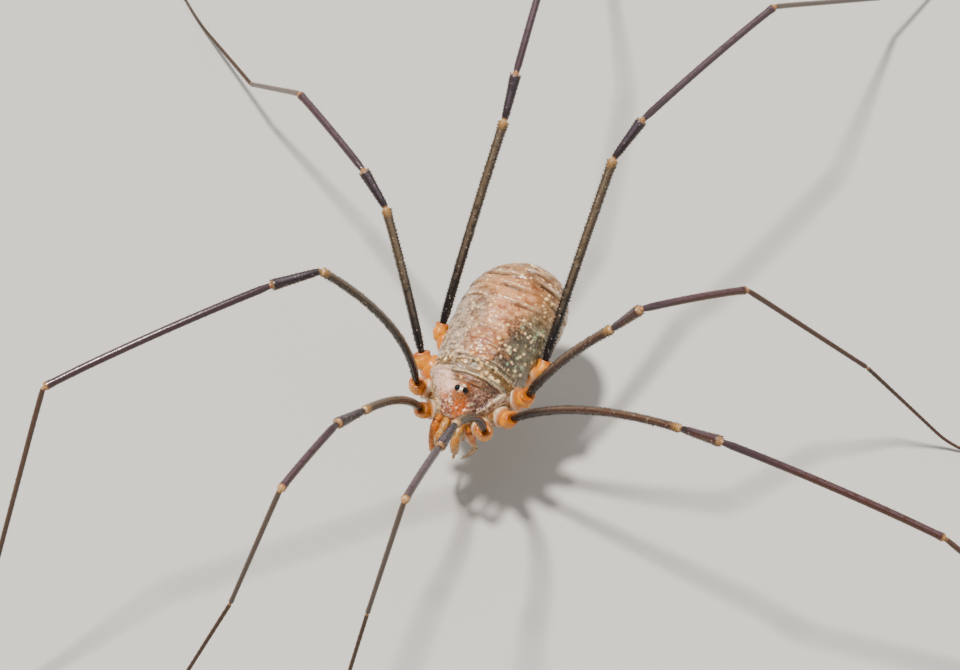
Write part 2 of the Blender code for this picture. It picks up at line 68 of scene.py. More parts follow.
class Link:
    # A socket that takes part in Python expressions.
    def __init__(self, tree, socket=None):
        self.tree = tree
        self.socket = socket

    def node(self, kind, settings=None, inputs=None, out=0):
        made = self.tree.nodes.new("ShaderNode" + kind)
        for key, value in (settings or {}).items():
            setattr(made, key, value)
        for key, value in (inputs or {}).items():
            entry = made.inputs[key]
            if isinstance(value, Link):
                self.tree.links.new(value.socket, entry)
            elif entry.type == "RGBA":
                entry.default_value = (*value, 1.0)
            else:
                entry.default_value = value
        return Link(self.tree, made.outputs[out])

    def maths(self, operation, *values):
        return self.node("Math", {"operation": operation}, dict(enumerate(values)))

    def __add__(self, other):
        return self.maths("ADD", self, other)

    def __radd__(self, other):
        return self.maths("ADD", other, self)

    def __sub__(self, other):
        return self.maths("SUBTRACT", self, other)

    def __rsub__(self, other):
        return self.maths("SUBTRACT", other, self)

    def __mul__(self, other):
        return self.maths("MULTIPLY", self, other)

    def __rmul__(self, other):
        return self.maths("MULTIPLY", other, self)

    def size(self):
        return self.maths("ABSOLUTE", self)

    def larger(self, other):
        return self.maths("MAXIMUM", self, other)

    def scaled(self, factors):
        return self.node("VectorMath", {"operation": "MULTIPLY"}, {0: self, 1: factors})

    # Eased from 0 at low to 1 at high, or the other way round where low is larger.
    def ease(self, low, high):
        settings = {"interpolation_type": "SMOOTHSTEP"}
        return self.node("MapRange", settings, {0: self, 1: low, 2: high})

    # This socket as a mask over two colours.
    def mix(self, first, second):
        return self.node("Mix", {"data_type": "RGBA"}, {0: self, 6: first, 7: second}, 2)

    def mark(self, name):
        return self.node("Attribute", {"attribute_name": name}, out=2)

    def marks(self, *names):
        return [self.mark(name) for name in names]

    def place(self):
        at = self.node("TexCoord", out=3)
        return self.node("VectorMath", {"operation": "SCALE"}, {0: at, 3: perMetre})

    def noise(self, scale, detail=3.0, rough=0.5):
        inputs = {"Vector": self, "Scale": scale, "Detail": detail, "Roughness": rough}
        return self.node("TexNoise", None, inputs)

    # Distance to the nearest of many scattered points, and a random number for each.
    def cells(self, scale):
        shift = self.node("TexNoise", None, {"Vector": self, "Scale": cellLook["bendScale"]}, 1)
        inputs = {0: shift, 1: cellLook["bend"], 2: self}
        bent = self.node("VectorMath", {"operation": "MULTIPLY_ADD"}, inputs)
        near = self.node("TexVoronoi", None, {"Vector": bent, "Scale": scale})
        kind = Link(self.tree, near.socket.node.outputs[1])
        return near, kind.node("SeparateColor", None, {0: kind})


def linear(value):
    return value / 12.92 if value <= 0.04045 else ((value + 0.055) / 1.055) ** 2.4


# Tones are dulled for the strong light, but for those that catch the eye.
def tone(code, gain=stance["gain"]):
    return tuple(gain * linear(int(code[k : k + 2], 16) / 255.0) for k in (0, 2, 4))


def newMaterial(name, rough=0.4, specular=0.5, inner=0.0, innerScale=0.2, coat=(0.0, 0.03)):
    made = bpy.data.materials.new(name)
    made.use_nodes = True
    shader = made.node_tree.nodes["Principled BSDF"]
    values = {
        "Roughness": rough, "Specular IOR Level": specular, "Subsurface Weight": inner,
        "Subsurface Scale": innerScale * mm, "Subsurface Radius": tone("ff8850", 1.0),
        "Coat Weight": coat[0], "Coat Roughness": coat[1],
    }
    for key, value in values.items():
        shader.inputs[key].default_value = value
    return made, Link(made.node_tree), shader


def wire(sheet, shader, colour, rough=None, height=None, depth=0.0):
    links = sheet.tree.links
    links.new(colour.socket, shader.inputs["Base Color"])
    if rough:
        links.new(rough.socket, shader.inputs["Roughness"])
    if height:
        bump = sheet.node("Bump", None, {"Distance": depth * mm, "Height": height})
        links.new(bump.socket, shader.inputs["Normal"])


# Shapes: a dictionary with points, faces, a material number and marks on the points
def unit(vectors):
    return vectors / np.linalg.norm(vectors, axis=-1, keepdims=True)


def easeStep(values, low, high):
    share = np.clip((values - low) / (high - low), 0.0, 1.0)
    return share * share * (3.0 - 2.0 * share)


def bell(values, width):
    return np.exp(-((values / width) ** 2))


def between(pair, share):
    return pair[0] + (pair[1] - pair[0]) * share


def circle(sides):
    return 2.0 * np.pi * np.arange(sides) / sides


# A tube closed by a fan of triangles at each end, from rings of points
def closedRings(rings, kind=0, **marks):
    rows, columns = rings.shape[:2]
    here = np.arange(columns)
    after = (here + 1) % columns
    quads = []
    for row in range(rows - 1):
        low, high = row * columns, (row + 1) * columns
        quads.append(np.stack([low + here, low + after, high + after, high + here], 1))
    first, last = rows * columns, rows * columns + 1
    end = (rows - 1) * columns
    faces = np.concatenate(quads).tolist()
    faces += [[first, b, a] for a, b in zip(here.tolist(), after.tolist())]
    faces += [[last, end + a, end + b] for a, b in zip(here.tolist(), after.tolist())]
    points = np.vstack([rings.reshape(-1, 3), rings[0].mean(0), rings[-1].mean(0)])
    flat = {}
    for name, values in marks.items():
        values = np.broadcast_to(values, (rows, columns))
        flat[name] = np.concatenate([values.ravel(), [values[0].mean(), values[-1].mean()]])
    return facingOut({"points": points, "faces": faces, "kind": kind, "marks": flat})


def facingOut(shape):
    points = shape["points"] - shape["points"].mean(0)
    volume = 0.0
    for count in (3, 4):
        chosen = [face for face in shape["faces"] if len(face) == count]
        if chosen:
            corners = points[np.array(chosen)]
            for k in range(1, count - 1):
                turn = np.cross(corners[:, k], corners[:, k + 1])
                volume += (corners[:, 0] * turn).sum()
    if volume < 0.0:
        shape["faces"] = [face[::-1] for face in shape["faces"]]
    return shape


# Many small closed cones: roots and tips with a radius for each
def cones(roots, tips, radii, sides, kind=0):
    ways = unit(tips - roots)
    # any direction will do that no cone points along
    aside = unit(np.cross(ways, (0.31, 0.17, 0.93)))
    other = np.cross(ways, aside)
    turns = circle(sides)
    ring = aside[:, None] * np.cos(turns)[:, None] + other[:, None] * np.sin(turns)[:, None]
    base = roots[:, None] + ring * np.asarray(radii)[:, None, None]
    points = np.concatenate([base, tips[:, None]], axis=1)
    starts = np.arange(len(roots)) * (sides + 1)
    faces = []
    for k in range(sides):
        after = (k + 1) % sides
        faces += np.stack([starts + k, starts + after, starts + sides], 1).tolist()
    faces += (starts[:, None] + np.arange(sides)[::-1]).tolist()
    return {"points": points.reshape(-1, 3), "faces": faces, "kind": kind, "marks": {}}


def addObject(name, data):
    made = bpy.data.objects.new(name, data)
    bpy.context.scene.collection.objects.link(made)
    return made


def makePiece(name, shapes, materials, nodes):
    names = sorted({mark for shape in shapes for mark in shape["marks"]})
    points, faces, kinds, marks = [], [], [], {mark: [] for mark in names}
    start = 0
    for shape in shapes:
        points.append(shape["points"])
        faces += [[start + k for k in face] for face in shape["faces"]]
        kinds += [shape["kind"]] * len(shape["faces"])
        for mark in names:
            marks[mark].append(shape["marks"].get(mark, np.zeros(len(shape["points"]))))
        start += len(shape["points"])
    mesh = bpy.data.meshes.new(name)
    points = np.vstack(points)
    points[:, 2] = np.maximum(points[:, 2], stance["floor"])
    mesh.from_pydata(((points + waist) * mm).tolist(), [], faces)
    for mark in names:
        made = mesh.attributes.new(mark, "FLOAT", "POINT")
        made.data.foreach_set("value", np.concatenate(marks[mark]).astype(np.float32))
    for material in materials:
        mesh.materials.append(material)
    mesh.polygons.foreach_set("material_index", kinds)
    mesh.shade_smooth()
    piece = addObject(name, mesh)
    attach(piece, "root")
    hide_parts(*nodes)


# Body
bodyLook = {
    # y, half width, level of the broadest line, top and bottom of the front half
    "stations": (
        (-2.10, 0.40, 0.25, 0.56, -0.25), (-2.00, 0.50, 0.25, 0.62, -0.35),
        (-1.90, 0.66, 0.28, 0.78, -0.55), (-1.45, 0.86, 0.32, 0.97, -0.85),
        (-0.90, 1.22, 0.36, 1.12, -1.10), (-0.40, 1.55, 0.36, 1.24, -1.25),
        (0.00, 1.76, 0.34, 1.33, -1.35), (0.60, 1.86, 0.26, 1.42, -1.46),
    ),
    "smoothed": (-2.6, 1.2, 0.01), "smoothing": 33, "join": (-0.35, 0.35),
    "frontFrom": -1.86, "frontReach": 0.20,
    "roundness": (2.3, 2.04), "roundnessOver": (-0.3, 0.5),
    "half": (1.80, 2.34), "height": (1.36, 1.98), "level": (0.0, -0.32), "swing": 0.065,
    "broadest": 3.75, "end": 6.65, "bluntness": 2.2,
    # rows of points: share of a quarter turn and count at each end; between them the
    # count and where, how widely and how much they crowd, like the columns on the top
    "frontRows": (0.97, 10), "middleRows": (215, -1.08, 0.5, 1.2), "rearRows": (0.985, 120),
    "columns": 280, "columnCrowd": (0.4, 1.6),
    # y, depth and width of each groove across the back, and how far round it runs
    "grooves": (
        (-0.60, 0.045, 0.032, 0.60), (-0.42, 0.045, 0.030, 0.75), (-0.25, 0.045, 0.040, 0.90),
        (0.02, 0.030, 0.035, 0.90), (0.33, 0.030, 0.040, 0.90), (0.58, 0.045, 0.045, 0.95),
        (1.30, 0.030, 0.050, 0.95), (2.05, 0.030, 0.050, 0.95), (2.85, 0.032, 0.055, 0.95),
        (3.65, 0.045, 0.065, 1.00), (4.42, 0.105, 0.070, 1.00), (5.06, 0.115, 0.070, 1.00),
        (5.60, 0.090, 0.060, 1.00), (6.03, 0.055, 0.050, 1.00),
    ),
    # each groove's raised lip: height over depth, place and width over the groove's width
    "lip": (0.55, 2.0, 1.4),
    "bow": 0.10,
    "bellyGroove": (0.07, 0.02),
    "swell": 0.028,
    "swellOver": (1.0, 4.4),
    # y, width and height of the cross ridges, and how much they bow
    "ridges": ((-0.13, 0.075, 0.045), (0.45, 0.07, 0.045)),
    "ridgeBow": 0.12,
    "hump": {"at": (0.0, stance["eyeBack"]), "half": (0.36, 0.46), "height": 0.50, "power": 2.6},
    # half widths and depth
    "cleft": (0.06, 0.35, 0.045),
    "eyeAt": (0.175, stance["eyeBack"], stance["eyeUp"]),
    "eyeRadius": 0.145,
    # distance from the eye, width and rise
    "lid": (0.03, 0.04, 0.035),
    # height round the body, width, and where it fades in at the back and at the front: the
    # carapace's margin and the furrow inside it
    "rims": ((0.34, 0.09, (0.0, 0.3), (-1.95, -1.6)), (0.54, 0.09, (0.15, 0.5), (-1.85, -1.5))),
    "rimHeight": 0.06,
    "furrowDepth": 0.05,
    # height round the body, width and rise of the soft skin and of the fold along the flank
    "skirt": (-0.05, 0.32, 0.19),
    "flank": (-0.12, 0.07, 0.05),
    # wave length, number of waves and seed
    "rimWaves": (0.55, 7, 15), "lumpWaves": (0.9, 9, 11), "pitWaves": (0.30, 12, 12),
    "crinkleWaves": (0.17, 14, 14), "wrinkleWaves": (0.5, 6, 13),
    "lumps": 0.020, "pits": 0.010, "crinkle": 0.018, "wrinkle": 0.006, "wrinklePitch": 0.15,
}
# Knobs stand on the carapace, in rows behind the grooves, or anywhere
knobLook = {
    "count": 290, "size": (0.038, 0.095), "height": 0.026, "strength": (0.5, 1.0),
    "headShare": 0.18, "headOver": (-1.8, -0.65),
    "rowShare": 0.85, "rowSteps": (0.16, 0.34, 0.50), "stray": 0.03,
    "anywhere": (0.0, 6.2), "lateral": (-0.93, 0.93), "reach": 14,
}


def bodyProfile(y):
    look = bodyLook
    table = np.array(look["stations"])
    fine = np.arange(*look["smoothed"])
    kernel = bell(np.linspace(-2.0, 2.0, look["smoothing"]), 1.0)
    front = []
    for k in range(1, 5):
        values = np.interp(fine, table[:, 0], table[:, k])
        front.append(np.interp(y, fine, np.convolve(values, kernel / kernel.sum(), "same")))
    share = np.sin(0.5 * np.pi * np.clip(y / look["broadest"], 0.0, 1.0))
    reach = (y - look["broadest"]) / (look["end"] - look["broadest"])
    shut = np.sqrt(1.0 - np.clip(reach, 0.0, 1.0) ** look["bluntness"])
    half = between(look["half"], share) * shut
    height = between(look["height"], share) * shut
    level = between(look["level"], easeStep(y, 0.0, look["broadest"]))
    back = [half, level, level + height, level - height]
    blend = easeStep(y, *look["join"])
    made = [a * (1.0 - blend) + b * blend for a, b in zip(front, back)]
    out = np.clip((look["frontFrom"] - y) / look["frontReach"], 0.0, 1.0)
    shut = np.sqrt(1.0 - out**2)
    middle = 0.5 * (made[2] + made[3])
    made[0] = made[0] * shut
    for k in (1, 2, 3):
        made[k] = middle + (made[k] - middle) * shut
    return made


def dense(low, high, count, focus, width, crowd):
    fine = np.linspace(low, high, 4000)
    weight = np.cumsum(1.0 + crowd * bell(fine - focus, width))
    share = (weight - weight[0]) / (weight[-1] - weight[0])
    return np.interp(np.linspace(0.0, 1.0, count), share, fine)


def bodyNormals(rings):
    around = np.roll(rings, -1, 1) - np.roll(rings, 1, 1)
    along = np.gradient(rings, axis=0)
    normal = np.cross(around, along)
    normal = normal / np.maximum(np.linalg.norm(normal, axis=-1, keepdims=True), 1e-9)
    middle = rings.mean(1, keepdims=True)
    facing = ((rings - middle) * normal).sum()
    return normal if facing > 0.0 else -normal


def softWaves(points, length, count, seed):
    # Smooth lumps: a sum of waves in random directions.
    draw = np.random.default_rng(seed)
    total = np.zeros(points.shape[:-1])
    for _ in range(count):
        way = unit(draw.normal(size=3)) * 2.0 * np.pi / (length * draw.uniform(0.7, 1.5))
        total = total + np.sin(points @ way + draw.uniform(0.0, 6.28))
    return total / math.sqrt(count)


def eyeMiddle(side):
    return np.array([side * bodyLook["eyeAt"][0], *bodyLook["eyeAt"][1:]])


def bodyRows():
    look = bodyLook
    share, count = look["frontRows"]
    turns = np.linspace(share, 0.0, count)[:-1] * 0.5 * np.pi
    front = look["frontFrom"] - look["frontReach"] * np.sin(turns)
    middle = dense(look["frontFrom"], look["broadest"], *look["middleRows"])
    share, count = look["rearRows"]
    turns = np.linspace(0.0, share, count)[1:] * 0.5 * np.pi
    rear = look["broadest"] + (look["end"] - look["broadest"]) * np.sin(turns)
    return np.concatenate([front, middle, rear])


# Smooth body with the eye hump raised straight up out of the carapace. Across and back
# run from -1 to 1, to the animal's left and to the top.
def bodyRings(y):
    look = bodyLook
    columns = look["columns"] + 1
    turn = dense(-0.5 * np.pi, 1.5 * np.pi, columns, 0.5 * np.pi, *look["columnCrowd"])[:-1]
    half, edge, top, bottom = (values[:, None] for values in bodyProfile(y))
    power = 2.0 / between(look["roundness"], easeStep(y, *look["roundnessOver"]))[:, None]
    across = np.sign(np.cos(turn)) * np.abs(np.cos(turn)) ** power
    back = np.sign(np.sin(turn)) * np.abs(np.sin(turn)) ** power
    ahead = np.broadcast_to(y[:, None], across.shape)
    level = edge + np.where(back > 0.0, top - edge, edge - bottom) * back
    rings = np.stack([half * across, ahead, level], axis=-1)
    rings[..., 0] += look["swing"] * np.maximum(ahead, 0.0)

    hump = look["hump"]
    away = np.hypot(*((rings[..., k] - hump["at"][k]) / hump["half"][k] for k in (0, 1)))
    rise = np.exp(-(away ** hump["power"])) * (back > 0.0)
    width, length, depth = look["cleft"]
    cleft = bell(rings[..., 0], width) * bell(ahead - hump["at"][1], length)
    rings[..., 2] += hump["height"] * rise - depth * cleft * (back > 0.0)
    away, width, height = look["lid"]
    for side in (-1.0, 1.0):
        eye = eyeMiddle(side)
        gap = np.linalg.norm(rings - eye, axis=-1) - look["eyeRadius"]
        lid = bell(gap - away, width) * height
        rings = rings + unit(rings - eye) * lid[..., None]
    return rings, {"along": ahead, "across": across, "back": back, "hump": rise}


# How far the skin stands out from the smooth body
def bodyRelief(rings, y, marks):
    look = bodyLook
    ahead, across, back = marks["along"], marks["across"], marks["back"]
    dorsal = easeStep(back, -0.15, 0.35)
    aside = np.abs(across)
    wobble = 0.035 * np.sin(4.0 * across + 1.3 * ahead) + 0.02 * np.sin(11.0 * across + 3.0)
    push, groove, ridge = (np.zeros(across.shape) for _ in range(3))
    rise, away, broad = look["lip"]
    for number, (at, depth, width, run) in enumerate(look["grooves"]):
        bow = look["bow"] * aside**2 * (1.0 if at < 0.5 else 0.4)
        gap = ahead - at - wobble * (0.5 if at < 0.5 else 1.0) + bow
        reach = 1.0 - easeStep(aside, run - 0.12, run + 0.02) * (run < 1.0)
        patchy = 0.65 + 0.35 * np.sin(6.0 * across + 2.1 * number)
        cut = bell(gap, width) * reach
        lip = bell(gap - away * width, broad * width) * reach
        push += dorsal * depth * (rise * lip - cut) * patchy
        groove = np.maximum(groove, cut * dorsal * min(depth / 0.05, 1.0) * patchy)
        ridge = np.maximum(ridge, lip * dorsal * min(depth / 0.04, 1.0) * patchy)
        width, depth = look["bellyGroove"]
        push -= depth * (bell(ahead - at, width) * easeStep(-back, 0.1, 0.4)) * (at > 1.0)

    # each ring of the abdomen bulges between its grooves
    starts = np.array(look["grooves"])[:, 0]
    spot = np.clip(np.searchsorted(starts, y) - 1, 0, len(starts) - 2)
    share = np.clip((y - starts[spot]) / (starts[spot + 1] - starts[spot]), 0.0, 1.0)
    push += (look["swell"] * np.sin(np.pi * share) * easeStep(y, *look["swellOver"]))[:, None]

    # cross ridges in front of the first grooves, then the carapace's margin and furrow
    for at, width, height in look["ridges"]:
        crest = bell(ahead - at + look["ridgeBow"] * aside**2 - wobble * 0.5, width) * dorsal
        push += height * crest
        ridge = np.maximum(ridge, crest)
    uneven = back + 0.05 * softWaves(rings, *look["rimWaves"])
    clear = 0.30 + 0.70 * easeStep(across, -0.5, 0.1)
    margin, furrow = (
        bell(uneven - at, width) * easeStep(-ahead, *rear) * easeStep(ahead, *front) * clear
        for at, width, rear, front in look["rims"]
    )
    push += look["rimHeight"] * margin - look["furrowDepth"] * furrow

    # soft skin stands out between the roots of the legs
    at, width, height = look["skirt"]
    skirt = bell(back - at, width) * easeStep(ahead, -1.5, -0.85)
    push += height * skirt * easeStep(-ahead, -0.8, -0.1)
    at, width, height = look["flank"]
    push -= height * (bell(back - at, width) * easeStep(ahead, 0.9, 1.8))
    lumps = look["lumps"] * softWaves(rings, *look["lumpWaves"])
    push += lumps * easeStep(ahead, -1.9, -1.5)
    push += look["pits"] * softWaves(rings, *look["pitWaves"]) * dorsal
    crinkle = look["crinkle"] * softWaves(rings, *look["crinkleWaves"])
    push += crinkle * easeStep(-ahead, 1.15, 1.5)
    waves = ahead + 0.02 * softWaves(rings, *look["wrinkleWaves"])
    wrinkle = np.sin(2.0 * np.pi * waves / look["wrinklePitch"])
    push += look["wrinkle"] * wrinkle * easeStep(ahead, 3.6, 4.6) * dorsal
    marks.update(groove=groove, ridge=ridge, margin=margin)
    return push


def bodyKnobs(rings, y, marks):
    look = knobLook
    across, back = marks["across"], marks["back"]
    rows = [groove[0] for groove in bodyLook["grooves"] if groove[0] > 0.0]
    knob = np.zeros(across.shape)
    for _ in range(look["count"]):
        kind = rng.uniform()
        if kind < look["headShare"]:
            at = rng.uniform(*look["headOver"])
        elif kind < look["rowShare"]:
            start = rows[rng.integers(len(rows))]
            at = start + rng.choice(look["rowSteps"]) + rng.normal(0.0, look["stray"])
        else:
            at = rng.uniform(*look["anywhere"])
        lateral = rng.uniform(*look["lateral"])
        row = int(np.argmin(np.abs(y - at)))
        # points of the underside are never nearest
        column = int(np.argmin(np.abs(across[row] - lateral) + 9.0 * (back[row] < 0.0)))
        low, high = max(row - look["reach"], 0), min(row + look["reach"] + 1, len(y))
        near = np.linalg.norm(rings[low:high] - rings[row, column], axis=-1)
        bump = bell(near, rng.uniform(*look["size"])) * rng.uniform(*look["strength"])
        knob[low:high] = np.maximum(knob[low:high], bump)
    marks["knob"] = knob
    return look["height"] * knob


def makeBody():
    y = bodyRows()
    rings, marks = bodyRings(y)
    normal = bodyNormals(rings)
    push = bodyRelief(rings, y, marks)
    push += bodyKnobs(rings, y, marks)
    shape = closedRings(rings + normal * push[..., None], **marks)
    nodes = ("prosoma", "opisthosoma", "ocularium")
    makePiece("bodySkin", [shape], [bodyMaterial()], nodes)


bodyTones = {
    "flank": "5e5238", "bloom": "968a6a", "litSideFlank": "86654c", "litSideBloom": "d8bfa8",
    "saddle": "a64c08", "saddlePale": "c47a36", "blush": "f0a872", "chestnut": "2e241d",
    "rear": "7a451c", "rearPale": "c28e5c", "cream": "ffe2ae", "warmSpot": "ffc47a",
    "mint": "b4d0a4", "groove": "2a1a12", "ridge": "d3b48e", "violet": "502a2a",
    "pink": "a2694e", "pinkWhite": "eebfa8", "rust": "8c4220", "band": "d46000",
    "headRidge": "bd6a22", "collar": "7d4e2a", "collarDark": "43332d", "olive": "5a3a12",
    "oliveLight": "966a2a", "white": "fbf1dd", "pleura": "ead2b4", "pleuraDark": "8f6240",
    "belly": "c9ab80", "bellySpot": "8f6a44", "rim": "ead0ac", "salmon": "e8854e",
}

# tones that keep their full strength
brightTones = ("cream", "warmSpot", "mint", "white", "pinkWhite", "rim")


def bodyMaterial():
    tones = {name: tone(code) for name, code in bodyTones.items()}
    tones.update({name: tone(bodyTones[name], 1.0) for name in brightTones})
    made, sheet, shader = newMaterial(
        "skin", specular=0.45, inner=0.14, innerScale=0.25, coat=(0.30, 0.12)
    )
    place = sheet.place()
    streaks = place.scaled((0.85, 1.25, 1.05))
    along, across, back, hump = sheet.marks("along", "across", "back", "hump")
    groove, ridge, knob, margin = sheet.marks("groove", "ridge", "knob", "margin")
    aside = across.size()
    onRight = across.ease(0.10, -0.50)
    broad = place.noise(1.0)
    middle = streaks.noise(2.8, 5.0, 0.62)
    fine = place.noise(8.0, 4.0, 0.65)
    smooth = along.ease(2.8, 4.3)
    grain = middle + (fine - 0.5) * (0.6 - 0.4 * smooth)

    # flanks, the animal's right one painted paler as painted light on the side that faces the key
    # lamp, and the smoother rear
    colour = grain.ease(0.38, 0.64).mix(tones["flank"], tones["bloom"])
    litSide = grain.ease(0.36, 0.60).mix(tones["litSideFlank"], tones["litSideBloom"])
    colour = (onRight * (0.45 + broad * 0.7)).ease(0.0, 1.0).mix(colour, litSide)
    rear = (broad * 0.65 + grain * 0.35).ease(0.38, 0.62).mix(tones["rear"], tones["rearPale"])
    colour = (along.ease(2.8, 4.4) * 0.9).mix(colour, rear)

    # saddle, its pinkish blush behind and its dark soft edge
    width = 0.42 - 0.10 * along.ease(2.2, 3.4) + 0.15 * along.ease(3.6, 4.6)
    inside = width + (broad - 0.5) * 0.8 + (middle - 0.5) * 0.5 + (fine - 0.5) * 0.35 - aside
    reach = along.ease(0.45, 0.75) * along.ease(5.6, 4.0)
    edge = inside.ease(-0.46, -0.12) * inside.ease(0.22, -0.06) * along.ease(3.4, 2.2) * reach
    edge = edge * across.ease(-0.1, 0.35).larger(0.15)
    saddle = grain.ease(0.36, 0.62).mix(tones["saddle"], tones["saddlePale"])
    blush = along.ease(1.7, 2.6) * (grain + (0.2 - across) * 0.3).ease(0.36, 0.62)
    saddle = (blush * 0.85).mix(saddle, tones["blush"])
    colour = (inside.ease(-0.26, 0.26) * reach * 0.85).mix(colour, saddle)
    colour = (edge * (0.45 + broad * 0.6)).mix(colour, tones["chestnut"])

    # carapace: violet-brown; pinkish white, in front salmon, on the animal's right, partly its
    # pale skin and partly painted light on the side that faces the key lamp; an orange band and
    # rusty patches to the front edge
    carapace = (grain + (aside - 0.4) * 0.2).ease(0.66, 0.42).mix(tones["violet"], tones["pink"])
    grains, lot = place.cells(8.5)
    granule = grains.ease(0.46, 0.16) * lot.ease(0.10, 0.25)
    blotch = place.noise(1.9, 3.0, 0.6)
    # pinkish white on the animal's right: partly the skin's own pale tone, partly painted light
    # where the key lamp falls
    pinkAndSheen = onRight * (0.45 + 0.9 * along.ease(-1.30, -1.0)) + (blotch - 0.5) * 2.4
    pinkAndSheen = (pinkAndSheen + (fine - 0.5) * 1.2).ease(0.05, 0.50)
    ahead = (along + (middle - 0.5) * 1.2).ease(-0.95, -1.30)
    pinkAndSheenTone = ahead.mix(tones["pinkWhite"], tones["salmon"])
    carapace = (pinkAndSheen * (0.1 + 0.8 * onRight)).mix(carapace, pinkAndSheenTone)
    limit = 0.20 + 0.26 * along.ease(-1.20, -1.80) + (middle - 0.5) * 0.5
    front = along.ease(-1.05, -1.40)
    band = (limit - (across - 0.20).size()).ease(-0.12, 0.10) * front
    rusty = (limit + 0.14 - (across + 0.25).size()).ease(-0.15, 0.20) * front
    carapace = (rusty * (fine * 1.2 + 0.1).ease(0.45, 0.75) * 0.8).mix(carapace, tones["rust"])
    carapace = (band * 0.92).mix(carapace, tones["band"])
    # pale crinkles at the front, stronger on the animal's right: partly the skin's own pinkish
    # white, partly painted glints
    crinkles = place.noise(7.0, 3.0, 0.6)
    crinklePaleAndGlint = crinkles.ease(0.54, 0.64) * front * (0.35 + 0.5 * onRight) * (1.0 - band * 0.6)
    carapace = crinklePaleAndGlint.mix(carapace, tones["pinkWhite"])
    between = grains.ease(0.42, 0.66) * onRight * blotch.ease(0.36, 0.56)
    carapace = (between * 0.35).mix(carapace, tones["violet"])
    # granules painted pale, white on the animal's right side: partly their own colour, partly
    # painted glints
    granulePaleAndGlintTone = onRight.mix(tones["pinkWhite"], tones["white"])
    carapace = (granule * (0.30 + 0.25 * onRight)).mix(carapace, granulePaleAndGlintTone)
    carapace = (hump.ease(0.10, 0.6) * 0.8).mix(carapace, tones["headRidge"])
    # painted highlight: white glints on the top of the eye hump
    glints = place.noise(13.0, 2.0)
    crest = hump.ease(0.70, 0.98) * glints.ease(0.46, 0.54) * along.ease(-1.32, -1.15)
    carapace = crest.mix(carapace, tones["white"])
    rightSide = onRight * aside.ease(0.30, 0.60)
    head = (along - rightSide * 0.45).ease(-0.50, -0.66)
    colour = head.mix(colour, carapace)

    # brown collar behind the eyes, then the olive band between the two cream ridges
    collar = along.ease(-0.72, -0.60) * along.ease(-0.12, -0.24) * (1.0 - rightSide)
    dusk = (across + (grain - 0.5) * 1.2).ease(0.10, 0.60)
    collarTone = (dusk * 0.6).mix(tones["collar"], tones["collarDark"])
    colour = (collar * 0.9).mix(colour, collarTone)
    olive = along.ease(-0.08, 0.02) * along.ease(0.42, 0.32)
    patches = (broad * 0.4 + fine * 0.6).ease(0.38, 0.60)
    oliveTone = patches.mix(tones["olive"], tones["oliveLight"])
    colour = (olive * 0.85).mix(colour, oliveTone)

    # cross grooves painted dark as painted shade; the cross ridges keep their own cream, and each
    # groove's lip is painted pale as a painted highlight; all broken up by noise
    broken = fine.ease(0.34, 0.56).larger(smooth).larger(collar * 0.75)
    crests = along.ease(-0.22, -0.34).mix(tones["ridge"], tones["headRidge"])
    colour = (ridge * (0.10 + 0.6 * broken)).ease(0.1, 0.9).mix(colour, crests)
    shade = (groove * (0.3 + 0.6 * broken)).ease(0.15, 0.85)
    colour = (shade * 0.85).mix(colour, tones["groove"])
    # painted highlight: white crescents along the lips of the rear rings
    crescentStreak = place.noise(1.3, 2.0).ease(0.50, 0.60)
    crescentHighlight = (ridge + (fine - 0.5) * 0.5).ease(0.62, 0.92) * along.ease(2.4, 3.2) * crescentStreak
    colour = (crescentHighlight * 0.65).mix(colour, tones["white"])

    # soft skin between the carapace's edge and the legs
    folds = (grain + (blotch - 0.5) * 0.5).ease(0.44, 0.60)
    pleura = folds.mix(tones["pleura"], tones["pleuraDark"])
    edgeAt = back.ease(0.36, 0.20).larger(onRight * back.ease(0.50, 0.30) * 0.3)
    colour = (along.ease(0.8, 0.3) * edgeAt).mix(colour, pleura)
    colour = (margin * (0.25 + broken * 0.75)).ease(0.2, 0.8).mix(colour, tones["rim"])

    # spots: cream on the knobs and small ones between, dense on the band, greenish on a flank
    dots, chance = place.cells(3.6)
    small = (dots + (1.0 - chance) * 0.20).ease(0.38, 0.16) * chance.ease(0.55, 0.66)
    tiny, luck = place.cells(7.5)
    tiny = tiny.ease(0.34, 0.10) * luck.ease(0.62, 0.68) * 0.40
    crowd, odds = place.cells(3.1)
    crowd = crowd.ease(0.42, 0.18) * odds.ease(0.22, 0.30) * olive
    flecks, kinds = place.cells(2.9)
    large = flecks.ease(0.42, 0.16) * kinds.ease(0.45, 0.55) * across.ease(0.35, 0.60)
    large = large * along.ease(0.5, 0.9) * along.ease(3.9, 3.0)
    upper = back.ease(-0.05, 0.2)
    colour = (large * upper * 0.75).mix(colour, tones["mint"])
    spots = knob.ease(0.14, 0.80).larger(small * 0.85).larger(tiny).larger(crowd)
    spots = spots * upper * hump.ease(0.4, 0.1) * (1.0 - 0.55 * head)
    spotTone = (chance * 0.6 + inside.ease(-0.2, 0.3) * 0.5).mix(tones["cream"], tones["warmSpot"])
    colour = (spots * 0.92).mix(colour, spotTone)

    # underside
    belly = grain.ease(0.50, 0.68).mix(tones["belly"], tones["bellySpot"])
    colour = back.ease(0.02, -0.22).mix(colour, belly)
    rough = 0.24 - 0.05 * smooth + (fine - 0.5) * (0.5 - 0.35 * smooth) + groove * 0.2
    grit = place.noise(26.0, 2.0)
    height = (fine * 0.7 + grit * 0.4) * (1.0 - 0.6 * smooth) + spots * 0.4 + granule * head
    wire(sheet, shader, colour, rough, height, 0.030)
    return made


# Eyes
eyeLook = {"radius": 0.147, "tall": 1.16, "tones": ("050506", "14100f"), "grain": 20.0}
bodySides = {"right": -1.0, "left": 1.0}


